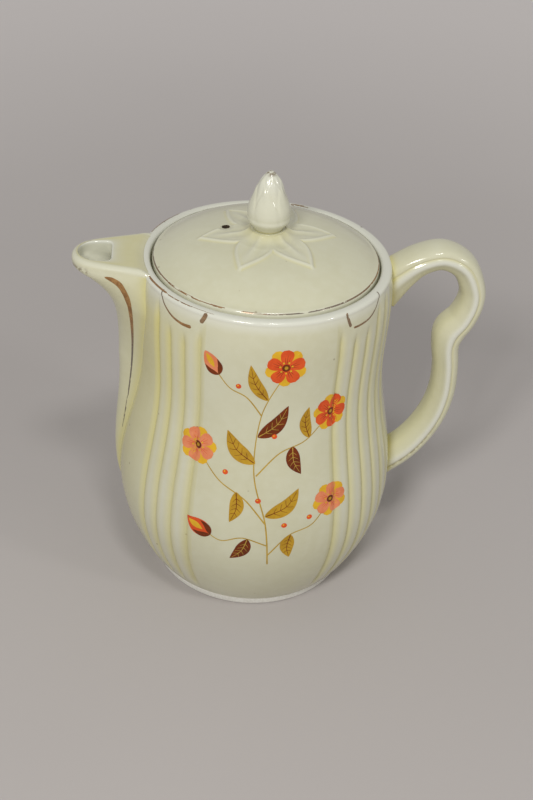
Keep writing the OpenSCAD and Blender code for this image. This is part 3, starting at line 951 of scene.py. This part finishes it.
def build_handle():
    path = loop_path()
    out = normals(path[:, :2])
    section = spline(np.concatenate([GRIP_HALF, (GRIP_HALF * [1, -1])[-2:0:-1]]), 4, closed=True)
    reach = section[:, 0] * path[:, 2:]
    pts = np.stack(np.broadcast_arrays(path[:, :1] + out[:, :1] * reach, -section[:, 1] * GRIP_W,
                                       path[:, 1:2] + out[:, 1:] * reach), -1)
    # The roots end inside the wall
    r = np.hypot(pts[..., 0], pts[..., 1])
    wall = body_r(np.clip(pts[..., 2], BODY_Z, RIM_Z))
    pts[..., :2] *= np.maximum(1, (wall - HANDLE_SUNK) / r)[..., None]
    n_rows, n_cols = pts.shape[:2]
    faces = quads(n_rows, n_cols).tolist()
    faces += [list(range(n_cols))[::-1], list(range((n_rows - 1) * n_cols, n_rows * n_cols))]
    attrs = grip_glaze(section, path, np.clip(r - wall, 0, None))
    return make_mesh("handle_skin", pts, faces, [glaze], attrs, turn_out=True)


# Lid

VENT_X = VENT_R * math.cos(VENT_A)
VENT_Y = VENT_R * math.sin(VENT_A)
# Relief of a petal's blade, raised outline and midrib, and the hollows beside the midrib
BLADE_H = 0.42
OUTLINE_H = 0.4
RIB_H = 0.28
DISH_D = 0.22
COLLAR_FOOT_R = NECK_R + COLLAR_W + 0.1
# Radius at which the dome's underside ends at the skirt
CEILING_R = 40.6


def dome(r):
    return DOME_Z - DOME_RISE * (r / LID_R) ** DOME_POWER


def lid_top(r):
    """The dome with the collar that flares up from it to the knob."""
    low = dome(COLLAR_R) - COLLAR_SINK
    s = clamp((COLLAR_R - r) / (COLLAR_R - NECK_R - COLLAR_W))
    flare = low + (BUD_FOOT_Z - low) * s * s - 0.5 * np.clip(r - COLLAR_R, 0, None) ** 2
    blend = 0.5
    return blend * np.logaddexp(flare / blend, dome(r) / blend)


def from_vent(r, phi):
    """Distance from the vent's middle, seen from above."""
    t = np.radians(phi)
    return np.hypot(r * np.cos(t) - VENT_X, r * np.sin(t) - VENT_Y)


def rosette(r, phi):
    """Relief of the petals over the dome: a raised outline, a slightly raised blade and a midrib."""
    step = 360.0 / PETALS
    off = np.radians((phi - PETAL_A + step / 2) % step - step / 2)
    reach = r * (1 - PETAL_FRONT * clamp(-np.sin(np.radians(phi))))
    along = reach * np.cos(off)
    across = np.abs(reach * np.sin(off))
    s = clamp((along - NECK_R) / (PETAL_R - NECK_R))
    half = PETAL_W / 2 * np.sin(np.pi * (0.36 + 0.64 * s) ** 1.1)
    slope = np.gradient(half, axis=0) / np.maximum(1e-6, np.gradient(along, axis=0))
    inside = (half - across) / np.sqrt(1 + np.clip(slope, -1.5, 1.5) ** 2)
    tip = smooth((PETAL_R - 0.1 - along) / 0.8)
    relief = BLADE_H * smooth(inside / 1.2) * tip
    relief += OUTLINE_H * bell((inside - 1.15) / 0.9) * tip * smooth((s - 0.12) / 0.3)
    relief += RIB_H * bell(across / 0.9) * smooth((0.75 - s) / 0.5) * (inside > 0)
    relief -= DISH_D * smooth((inside - 1.6) / 2.2) * bell((across - 2.6) / 1.6) * smooth((0.8 - s) / 0.4)
    # The ground is flat round the vent
    return relief * smooth((r - NECK_R) / 2) * smooth((from_vent(r, phi) - VENT_D / 2 - 0.3) / 2.4)


def collar_profile():
    """The seat under the knob, and its rounded edge."""
    seat_z = BUD_FOOT_Z - 0.02
    return ([(0, seat_z), (NECK_R - 0.1, seat_z)]
            + corner(NECK_R + 2 * COLLAR_ROUND, seat_z, COLLAR_ROUND, 90, 20, 4))


def top_profile():
    return [(r, lid_top(r)) for r in stretches((COLLAR_FOOT_R, 33, 64), (33, CROWN_R, 20))]


def under_profile():
    """From the flange round the skirt and up to the middle of the dome's underside."""
    return ([(LID_R, SEAT_Z + 1.6)] + corner(LID_R, SEAT_Z, LID_LOW_ROUND, 0, -90, 4)
            + [(SKIRT_R + 2 * SKIRT_FILLET, SEAT_Z)] + corner(SKIRT_R, SEAT_Z, SKIRT_FILLET, 90, 180, 4)
            + [(SKIRT_R, SKIRT_Z + 5.2)] + corner(SKIRT_R, SKIRT_Z, SKIRT_ROUND, 0, -90, 5)
            + corner(SKIRT_IN_R, SKIRT_Z, SKIRT_ROUND, -90, -180, 5)
            + [(SKIRT_IN_R, SKIRT_Z + 7.2), (SKIRT_IN_R, dome(SKIRT_IN_R) - LID_T - 1.5)]
            + [(CEILING_R, dome(CEILING_R) - LID_T - SKIRT_FILLET)]
            + [(r, dome(r) - LID_T) for r in np.linspace(CEILING_R, 0, 16)[1:]])


def vent_cutter():
    ring = arc(0, 0, VENT_D / 2, 0, 360, 33)[:-1]
    place = Matrix.Translation((VENT_X, VENT_Y, SEAT_Z + 4))
    return prism("vent_cutter", ring, CUT_LENGTH, place, stained_vent)


def build_lid():
    edge_arc = arc(CROWN_R, dome(CROWN_R) - LID_ROUND, LID_ROUND, 62, 0, 8)
    parts = [collar_profile(), top_profile(), edge_arc, under_profile()]
    top_row, side_row, under_row, _ = np.cumsum([len(part) for part in parts])
    top = slice(top_row, side_row)
    profile = np.array(sum(parts, []), float)
    angles = np.arange(0, 360, 0.75)
    pts = revolve(profile, angles)
    r = profile[:, :1]
    relief = rosette(r[top], angles)
    pts[top, :, 2] += relief
    pool, edge = np.zeros((2, *pts.shape[:2]))
    # Glaze lies thinner on the petals, and a little thicker beside their outlines and at the collar
    hollow = np.roll(relief, 3, 1) + np.roll(relief, -3, 1) - 2 * relief
    pool[top] = clamp(hollow * 1.3) * 0.5 + 0.3 * bell((r[top] - COLLAR_FOOT_R) / 3.6)
    pool[top_row - 2:top_row] = 0.3
    pool[under_row + 1:] = 0.12
    edge[top] = clamp(relief * 0.38)
    edge[side_row + 1:under_row] = 0.3
    stain_and_shade = smooth((VENT_D / 2 + 0.5 - from_vent(r, angles)) / 0.5)
    obj = make_mesh("lid_skin", pts, quads(len(profile), len(angles), flip=True), [glaze],
                    {"pool": pool, "edge": edge, "stain_and_shade": stain_and_shade}, weld=True)
    cut_out(obj, vent_cutter())
    return obj


# Knob

def bud_radius(h):
    """Radius of the smooth bud at a height over its seat on the solid."""
    low = BUD_FOOT_R + (BUD_R - BUD_FOOT_R) * smooth((h + FOOT_DROP) / BUD_SWELL_H)
    u = clamp((h - BUD_BELLY_H) / (BUD_H - BUD_BELLY_H))
    r = np.where(h < BUD_BELLY_H, low, BUD_R * (1 - u ** 1.8) ** 0.66)
    return r * (1 - 0.13 * smooth((h - 8) / 10))


def sepals(h, angles, turn, height, bow, soft):
    """1 on a ring of sepals and 0 over their bowed tips, and how far it is to a sepal's middle."""
    twist = (angles + turn + h * 1.1) * SEPALS / 360
    off = np.abs(twist - np.round(twist)) * 2
    return smooth((height * (1 - bow * off ** 2.2) - h) / soft), off


def build_knob():
    angles = np.arange(0, 360, 2.5)
    h = np.concatenate([stretches((-FOOT_DROP, 1.2, 8), (1.2, 22, 70))[:-1],
                        BUD_H * (1 - 0.17 * np.linspace(1, 0.09, 16) ** 1.8)])[:, None]
    outer, off = sepals(h, angles, turn=20, height=20.5, bow=0.42, soft=3.2)
    inner, _ = sepals(h, angles, turn=56, height=24.6, bow=0.22, soft=2.6)
    relief = 0.35 * outer + 0.3 * inner - 0.65 * smooth((23.5 - h) / 9)
    relief -= 0.16 * bell((off - 1) / 0.2) * outer * smooth(h / 6)
    pleats = np.cos(np.radians(SEPALS * 2 * (angles + 9 + h * 1.6)))
    relief += 0.11 * pleats * smooth((h - 11) / 6) * smooth((25 - h) / 3)
    cup = 0.1 * bell((h - 5.6) / 0.75)
    r = np.maximum(BUD_TIP_R, bud_radius(h) + relief * smooth(h / 6) - cup) - 0.25 * smooth(0.3 - h)
    # A point closes the foot, and another the tip
    ends = ((1, 1), (0, 0))
    h = np.concatenate([h[:1], np.minimum(h, BUD_H * BUD_BLUNT), [[BUD_H * BUD_TIP]]])
    pts = polar(np.pad(r, ends), np.radians(angles), KNOB_Z + h)
    # Glaze pools at the foot and at the sepals' tips, and is worn thin and stained at the bud's tip
    slope = np.pad(np.abs(np.gradient(outer + inner, axis=0)), ends)
    pool = clamp(0.5 * bell((h + FOOT_DROP) / 0.9) + slope * 0.2)
    edge = 0.4 + 0.3 * smooth((h - 14) / 8) - pool
    stain_and_shade = 0.8 * smooth((h - 24.0) / 1.4)
    return make_mesh("knob_skin", pts, quads(*pts.shape[:2]), [glaze],
                     {"pool": pool, "edge": edge, "stain_and_shade": stain_and_shade}, weld=True)


# Gilding

def along_line(value, s):
    """A number, or a function of the place along a line, as an array."""
    return value(s) if callable(value) else np.full_like(s, value)


def ribbon(place, length, half_width, wear, seed, tone, step, across=4, coarse=5.0, ring=False):
    """A strip on a surface: place(s, w) gives points, s from 0 to 1 and w across in millimetres.
    Wear leaves out that share of it, more at its edges. Tone is how grey it has worn."""
    n = int(length / step) + 1
    s, w = np.meshgrid(np.linspace(0, 1, n), np.linspace(-1, 1, across + 1), indexing="ij")
    width = along_line(half_width, s)
    if not ring:
        # Round ends, as a brush leaves them
        from_end = np.minimum(s, 1 - s) * length
        width = width * np.sqrt(clamp(1 - clamp(1 - from_end / width) ** 2) + 1e-4)
    pts = place(s, w * width)
    mid_s = (s[1:, 1:] + s[:-1, 1:]) / 2
    mid_w = (w[:-1, 1:] + w[:-1, :-1]) / 2
    grain = 0.65 * value_noise(mid_s * length / coarse, mid_w * 1.3 + 7, seed)
    grain += 0.35 * value_noise(mid_s * length / 1.3, mid_w * 2.1, seed + 1)
    keep = grain > along_line(wear, mid_s) + 0.12 * np.abs(mid_w)
    faces = quads(n, across + 1, wrap=False, keep=keep)
    return pts.reshape(-1, 3), faces, along_line(tone, s).ravel()


def join(parts):
    """Several lots of points, faces and a third value of either, as one."""
    pts, faces, more = zip(*parts)
    starts = np.cumsum([0] + [len(p) for p in pts])
    faces = [f + start for f, start in zip(faces, starts)]
    return np.concatenate(pts), np.concatenate(faces), np.concatenate(more)


def gilt_mesh(name, parts):
    pts, faces, tones = join(parts)
    return make_mesh(name, pts, faces, [gilt], {"stain_and_shade": tones})


RIM_PSI = np.linspace(0, 120, 121)
RIM_RUN = run_length(np.column_stack(rim_point(RIM_PSI)))


def on_body(a, z, lift, back):
    """A point on the body at an angle from a panel's centre. A height over the wall's top runs on
    along the rounded rim."""
    over_r, over_z = rim_point(np.interp(z - RIM_TURN_Z, RIM_RUN, RIM_PSI), lift)
    r = np.where(z > RIM_TURN_Z, over_r, body_r(z) - reed_depth(a, z) + lift)
    return polar(r, np.radians(90 - a if back else a - 90), np.where(z > RIM_TURN_Z, over_z, z))


# Millimetres to a degree on the body near the scallops and near the spray
LINE_SCALE = np.radians(1) * 56.0
SPRAY_SCALE = np.radians(1) * 60.0
# Degrees on the rim's round to a millimetre across a line
RIM_SCALE = 14.0
# Place of the lid's line on the rounded edge, and where round the lid it starts
LID_LINE_A = np.radians(40)
LID_LINE_START = 1.0


def body_line(control, half_width, wear, seed, tone, back):
    """A gilt line on the body, through points of angle and height."""
    xy, normal, length = curve_frame(np.asarray(control, float) * [LINE_SCALE, 1])

    def place(s, w):
        k = s * (len(xy) - 1)
        x, z, nx, nz = (np.interp(k, np.arange(len(xy)), v) for v in (*xy.T, *normal.T))
        return on_body((x + nx * w) / LINE_SCALE, z + nz * w, LIFT, back)
    return ribbon(place, length, half_width, wear, seed, tone, step=0.4)


def rim_line(a0, a1, psi, half_width, wear, seed, tone):
    """A gilt line on the rim, from angle to angle round the axis."""
    def place(s, w):
        r, z = rim_point(psi + w * RIM_SCALE, LIFT)
        return polar(r, np.radians(a0 + (a1 - a0) * s), z)
    length = math.radians(a1 - a0) * RIM_R
    return ribbon(place, length, half_width, wear, seed, tone, step=0.6, across=3, coarse=6.0)


# Place of the spout's line: height, and distance from the axis
SPOUT_LINE = np.array([[161.5, 70.4], [160.4, 66.4], [157.3, 62.8], [148.0, 59.6], [128.0, 58.6],
                       [105.0, 59.9], [75.0, 63.9]])


def spout_line(side, seed):
    ctrl = spline(SPOUT_LINE, 20)
    d = run_length(ctrl)

    def place(s, w):
        z, x = (np.interp(s * d[-1], d, v) for v in ctrl.T)
        # Across the strip is down the flank on the beak, and out along it on the ridge
        turn = smooth((s - 0.1) / 0.12)
        x = x + w * (0.25 + 0.6 * turn)
        z = z - w * 0.75 * (1 - turn)
        y = spout_half(x, z, 0.0)
        step = 0.05
        dy = (spout_half(x + step, z, 0.0) - y) / step
        n = np.sqrt(1 + dy ** 2)
        return np.stack([-(x - dy / n * LIFT), side * (y + LIFT / n), z], -1)

    def width(s):
        return np.interp(s, [0, 0.03, 0.1, 0.15, 0.2, 0.3, 0.42, 0.6, 1],
                         [0.4, 1.3, 2.2, 2.1, 1.1, 0.8, 0.55, 0.36, 0.22])

    def wear(s):
        return np.interp(s, [0, 0.3, 0.5, 0.75, 1], [0.02, 0.05, 0.1, 0.3, 0.5])

    def tone(s):
        return smooth((s - 0.26) / 0.26)
    return ribbon(place, d[-1], width, wear, seed, tone, step=0.6)


def lid_line():
    """The gilt line round the lid's rounded edge."""
    def place(s, w):
        turn = LID_LINE_A - w / LID_ROUND
        r = CROWN_R + (LID_ROUND + LIFT) * np.cos(turn)
        z = dome(CROWN_R) - LID_ROUND + (LID_ROUND + LIFT) * np.sin(turn)
        return polar(r, s * 2 * np.pi + LID_LINE_START, z)

    def wear(s):
        return 0.31 + 0.13 * np.sin(s * 2 * np.pi * 2 + 0.6)

    def tone(s):
        return 0.6 + 0.35 * np.sin(s * 2 * np.pi * 3 + 2)
    return ribbon(place, 2 * np.pi * LID_R, 0.34, wear, 25, tone, step=0.6, coarse=4.0, ring=True)


# Scallops and short ends beside each panel, worn grey where thin: points, half width, wear, seed and tone
PANEL_LINES = (
    ([(-56.0, 166.3), (-54.9, 163.6), (-52.1, 160.4), (-46.8, 157.4), (-41.0, 156.2), (-36.0, 156.4)],
     lambda s: 0.3 + 0.5 * s ** 2, lambda s: 0.02 + 0.06 * s, 3, lambda s: 0.95 - 1.1 * s),
    ([(57.4, 166.2), (55.9, 163.2), (52.3, 159.6), (47.7, 157.3), (41.0, 156.6), (37.5, 156.8)],
     lambda s: 0.28 + 0.22 * s, lambda s: 0.05 + 0.12 * s, 5, lambda s: 0.9 - 0.6 * s),
    ([(-29.4, 164.8), (-30.3, 162.4), (-31.7, 159.8)], 0.95, 0.03, 7, 0.45),
    ([(33.8, 164.6), (34.6, 161.2), (35.9, 157.6)], 0.7, 0.08, 9, 0.6))
BACK_SEED = 30
# What is left of the rim's line: two angles round the axis, the angle on the rim's round, and as above
RIM_LINES = (
    (-160, -142, 66, 0.8, lambda s: 0.12 + 0.14 * s, 11, 0.25),
    (-142, -116, 60, 0.45, lambda s: 0.32 + 0.25 * s, 13, 0.5),
    (64, 74, 100, 0.9, 0.34, 15, 0.3),
    (126, 158, 62, 0.6, lambda s: 0.55 - 0.3 * s, 17, 0.3))


def build_gilding():
    parts = [body_line(control, width, wear, seed + back * BACK_SEED, tone, back)
             for back in (False, True) for control, width, wear, seed, tone in PANEL_LINES]
    parts += [rim_line(*line) for line in RIM_LINES]
    lines = gilt_mesh("gilt_lines", parts)
    pts, faces, tones = spout_line(1, 25)
    spout = gilt_mesh("gilt_spout", [spout_line(-1, 21), (pts, faces[:, ::-1], tones)])
    return lines, spout, gilt_mesh("gilt_lid", [lid_line()])


# Printed spray: a generic design of round flowers, narrow leaves and berries

# Main and deeper tone of each enamel
TONES = {
    "brown": ((118, 48, 6), (98, 38, 4)),
    "ochre": ((190, 148, 36), (172, 130, 30)),
    "orange": ((222, 88, 34), (206, 74, 28)),
    "salmon": ((228, 140, 98), (216, 124, 82)),
    "yellow": ((226, 178, 40), (212, 162, 36)),
    "stem": ((188, 156, 66), (172, 140, 56))}
ENAMELS = {key: enamel_material("enamel_" + key, *tones) for key, tones in TONES.items()}
SPRAY_UP = 7.0
# Each layer of print lies this much over the one below
LAYER = 0.014
# Half widths of a stem, a leaf's midrib and thin veins
STEM_HALF = 0.33
RIB_HALF = 0.2
VEIN_HALF = 0.13


def heading(degrees):
    return np.array([math.cos(math.radians(degrees)), math.sin(math.radians(degrees))])


class Spray:
    """Shapes of one print, gathered by colour. Places are in millimetres across and up the panel."""

    def __init__(self, back):
        self.back = back
        self.parts = {key: [] for key in ENAMELS}

    def add(self, colour, x, z, layer):
        f = quads(*x.shape, wrap=False)
        pts = on_body(x / SPRAY_SCALE, z + SPRAY_UP, LIFT + LAYER * layer, self.back).reshape(-1, 3)
        if not self.back:
            f = f[:, ::-1]
        # Faces look outward whichever way the shape was drawn
        a, b, c = pts[f[len(f) // 2][:3]]
        if np.dot(np.cross(b - a, c - a)[:2], a[:2]) < 0:
            f = f[:, ::-1]
        self.parts[colour].append((pts, f))

    def blade(self, colour, spine, half, layer, shape, across=2):
        """A filled shape on both sides of a curved spine."""
        steps = max(8, int(6 + np.linalg.norm(np.subtract(spine[-1], spine[0])) * 1.2))
        xy, normal, _ = curve_frame(spine, steps)
        w = half * shape(np.linspace(0, 1, steps))[:, None] * np.linspace(-1, 1, across + 1)
        self.add(colour, xy[:, :1] + normal[:, :1] * w, xy[:, 1:] + normal[:, 1:] * w, layer)

    def stem(self, *spine):
        self.blade("stem", spine, STEM_HALF, 0, lambda t: 1 - 0.35 * t)

    def leaf(self, base, tip, half, colour, bend):
        base, tip = np.array(base, float), np.array(tip, float)
        spine = [base, (base + tip) / 2 + turned(tip - base) * bend, tip]
        self.blade(colour, spine, half, 1, lambda t: np.sin(np.pi * clamp(t) ** 0.8) ** 0.9 + 0.01, 8)
        line = "brown" if colour == "ochre" else "stem"
        xy, normal, _ = curve_frame(spine, 60)
        self.blade(line, [xy[2], xy[30], xy[54]], RIB_HALF, 2, lambda t: 1 - 0.6 * t)
        for i in range(12, 48, 9):
            reach = half * math.sin(math.pi * (i / 59) ** 0.8) * 0.72
            for s in (-1, 1):
                end = xy[i + 6] + normal[i] * reach * s
                mid = (xy[i] + end) / 2 + normal[i] * 0.15 * s
                self.blade(line, [xy[i], mid, end], VEIN_HALF, 2, lambda t: 1 - 0.5 * t)

    def disc(self, colour, centre, radius, layer, n):
        t = np.linspace(0, 2 * np.pi, n + 1)
        r = radius * np.linspace(0.02, 1, 5)[:, None]
        self.add(colour, centre[0] + r * np.cos(t), centre[1] + r * np.sin(t), layer)

    def petals(self, colour, centre, size, half, turn, layer):
        for k in range(5):
            d = heading(turn + 72 * k)
            mid = centre + d * size * 0.55 + turned(d) * size * 0.03
            self.blade(colour, [centre + d * size * 0.12, mid, centre + d * size], half, layer,
                       lambda t: 1.22 * np.sqrt(clamp(t)) * np.sqrt(clamp(1 - t ** 3.4)) + 0.02, 8)

    def flower(self, centre, radius, front, turn):
        """Five round petals over five more, with a dotted eye."""
        self.petals("yellow", centre, radius, radius * 0.34, turn + 36, 1)
        self.petals(front, centre, radius * 0.92, radius * 0.36, turn, 2)
        line = "brown" if front == "orange" else "orange"
        for k in range(5):
            for aside, far in ((-13, 0.56), (0, 0.66), (13, 0.56)):
                d = heading(turn + 72 * k + aside) * radius
                self.blade(line, [centre + d * share for share in (0.24, 0.42, far)], VEIN_HALF, 3,
                           lambda t: 1 - 0.7 * t)
        self.disc("brown", centre, radius * 0.2, 4, 20)
        for k in range(7):
            self.disc("yellow", centre + radius * 0.29 * heading(turn + 360 / 7 * k), radius * 0.05, 5, 10)
        self.disc("ochre", centre, radius * 0.09, 5, 12)

    def bud(self, base, tip, half, colour):
        base, tip = np.array(base, float), np.array(tip, float)
        d = tip - base
        n = turned(d)
        mid = (base + tip) / 2
        self.blade(colour, [base, mid, tip], half, 1, lambda t: np.sin(np.pi * t ** 0.7) ** 0.7 + 0.01, 8)
        self.blade("yellow", [base + d * 0.25, mid, base + d * 0.9], half * 0.35, 2,
                   lambda t: np.sin(np.pi * t) + 0.01, 4)
        for s in (-1, 1):
            spine = [base - d * 0.08, base + d * 0.2 + n * 0.24 * s, base + d * 0.52 + n * 0.3 * s]
            self.blade("brown", spine, half * 0.3, 3, lambda t: np.sin(np.pi * t ** 0.8) + 0.02, 4)

    def berry(self, x, z):
        self.disc("orange", (x, z), 1.25, 1, 14)
        self.disc("yellow", (x - 0.3, z + 0.35), 0.38, 2, 8)

    def build(self, name):
        parts = []
        for k, shapes in enumerate(self.parts.values()):
            parts += [(pts, faces, np.full(len(faces), k)) for pts, faces in shapes]
        pts, faces, mats = join(parts)
        return make_mesh(name, pts, faces, list(ENAMELS.values()), face_mats=mats)


def build_spray(name, back):
    """A spray that grows up from the lower middle of the panel."""
    art = Spray(back)
    art.stem((3, 34), (1, 58), (-5, 84), (-3, 112), (5, 131))
    art.stem((1, 58), (-8, 70), (-20, 78), (-29, 88))
    art.stem((-4, 82), (6, 93), (18, 98), (27, 106))
    art.stem((2.6, 40), (11, 51), (21, 55), (27, 62))
    art.stem((2, 46), (-8, 50), (-17, 47), (-23, 50))
    art.stem((-3, 112), (-10, 121), (-18, 125), (-24, 132))
    art.flower((6.5, 137), 9.5, "orange", 14)
    art.flower((-31.5, 92), 9.2, "salmon", 40)
    art.flower((30.5, 110), 9.2, "orange", 62)
    art.flower((30, 66), 8.6, "salmon", 8)
    art.bud((-22.5, 49.5), (-33, 55), 4.4, "orange")
    art.bud((-23.6, 131.4), (-30, 141), 3.8, "salmon")
    art.leaf((0.6, 62), (15, 75), 3.6, "ochre", -0.14)
    art.leaf((-4.6, 88), (-18, 103), 3.8, "ochre", 0.12)
    art.leaf((-4.2, 101), (9, 117), 3.6, "brown", -0.12)
    art.leaf((-12, 73.6), (-14, 58), 3.0, "ochre", 0.1)
    art.leaf((12, 96), (16, 82), 3.2, "brown", -0.1)
    art.leaf((-0.4, 120), (-9, 138), 3.0, "ochre", 0.1)
    art.leaf((12, 51.6), (12, 38), 3.0, "ochre", -0.1)
    art.leaf((-6, 49.6), (-13, 37), 3.0, "brown", 0.1)
    art.leaf((20, 99), (19, 115), 2.8, "ochre", 0.12)
    for x, z in ((-2.5, 70), (3.4, 101.5), (20, 59.5), (-17.5, 82.5), (9, 57), (-14, 126.5)):
        art.berry(x, z)
    return art.build(name)


# The pieces

pot = build_body()
spout = build_spout()
handle = build_handle()
lid = build_lid()
knob = build_knob()
gilt_lines, gilt_spout, gilt_lid = build_gilding()
spray_front = build_spray("spray_front", False)
spray_back = build_spray("spray_back", True)

for piece, node, body in ((pot, "pot_body", "pot"), (spout, "spout", "pot"), (handle, "handle", "pot"),
                          (lid, "lid", "lid"), (knob, "knob", "lid")):
    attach(piece, body)
    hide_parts(node)
for piece, body, slot in ((gilt_lines, "pot", "gold_line"), (gilt_spout, "pot", "gold_line"),
                          (gilt_lid, "lid", "gold_line"), (spray_front, "pot", "enamel_decal"),
                          (spray_back, "pot", "enamel_decal")):
    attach(piece, body)


# Stage, light and camera, in metres

FLOOR_R = 6.0
FLOOR_SIDES = 128
SKY_LIGHT = 0.355

# Camera fitted to the photograph, in millimetres, radians and pixels. The pot stands turned by TURN to it.
TURN = math.radians(5.0)
CAM_BACK = 505.25
CAM_UP = 443.77
CAM_PITCH = 0.6141
CAM_YAW = 0.0084
CAM_ROLL = 0.0652
FOCAL_PX = 1300.0
IMAGE_H = 800.0
SENSOR = 36.0


def stage_material():
    mat, tree, bsdf = new_material("pale_floor")
    colour = two_tones(tree, srgb(188, 182, 178), srgb(184, 178, 174), 3.0, 2.0)
    # A little paler away from the pot, where less light falls on it
    length = add_node(tree, "VectorMath", Vector=place_on(tree))
    length.operation = "LENGTH"
    colour = mix(ramp(length.outputs["Value"], 0.15, 1.1), colour, srgb(250, 243, 239))
    set_inputs(bsdf, Base_Color=colour, Roughness=0.75, Specular_IOR_Level=0.2)
    return mat


def build_floor():
    mesh = bpy.data.meshes.new("floor")
    ring = arc(0, 0, FLOOR_R, 0, 360, FLOOR_SIDES + 1)[:-1]
    mesh.from_pydata([(x, y, 0) for x, y in ring], [], [tuple(range(FLOOR_SIDES))])
    mesh.materials.append(stage_material())
    return link("floor", mesh)


def lamp(name, place, target, size, watts):
    data = bpy.data.lights.new(name, "AREA")
    data.shape = "RECTANGLE"
    data.size, data.size_y = size
    data.energy = watts
    obj = link(name, data)
    obj.location = place
    obj.rotation_euler = (Vector(target) - Vector(place)).to_track_quat("-Z", "Y").to_euler()


def build_world():
    world = bpy.data.worlds.new("studio")
    world.use_nodes = True
    sky = world.node_tree
    light = sky.nodes["Background"]
    set_inputs(light, Color=(1.0, 1.0, 1.0, 1.0), Strength=SKY_LIGHT)
    # What the camera and mirror-like surfaces see beyond the floor
    seen = add_node(sky, "Background", Color=srgb(190, 185, 182))
    ray = add_node(sky, "LightPath")
    sight = ray.outputs["Is Camera Ray"]
    for kind in ("Is Glossy Ray", "Is Transmission Ray"):
        sight = maths("MAXIMUM", sight, ray.outputs[kind])
    choice = add_node(sky, "MixShader", Fac=sight)
    feed(choice.inputs[1], light.outputs["Background"])
    feed(choice.inputs[2], seen.outputs["Background"])
    set_inputs(sky.nodes["World Output"], Surface=choice.outputs["Shader"])
    return world


def build_camera():
    data = bpy.data.cameras.new("camera")
    data.sensor_fit = "AUTO"
    data.sensor_width = SENSOR
    data.lens = FOCAL_PX / IMAGE_H * SENSOR
    data.clip_start = 0.01
    turns = ((-CAM_YAW, "Z"), (math.pi / 2 - CAM_PITCH, "X"), (CAM_ROLL, "Z"))
    place = Matrix.Rotation(-TURN, 4, "Z") @ Matrix.Translation(Vector((0, -CAM_BACK, CAM_UP)) * MM)
    for angle, axis in turns:
        place = place @ Matrix.Rotation(angle, 4, axis)
    obj = link("camera", data)
    obj.matrix_world = place
    return obj


floor = build_floor()
lamp("key", place=(-0.42, -1.00, 0.95), target=(0, 0, 0.09), size=(0.26, 0.20), watts=8.2)
lamp("overhead", place=(0.10, -0.62, 1.20), target=(0, 0, 0.1), size=(0.20, 0.14), watts=2.9)
lamp("side", place=(1.05, -0.70, 0.75), target=(0, 0, 0.1), size=(0.14, 0.10), watts=1.8)
scene = bpy.context.scene
scene.world = build_world()
scene.view_settings.view_transform = "Standard"
scene.camera = build_camera()
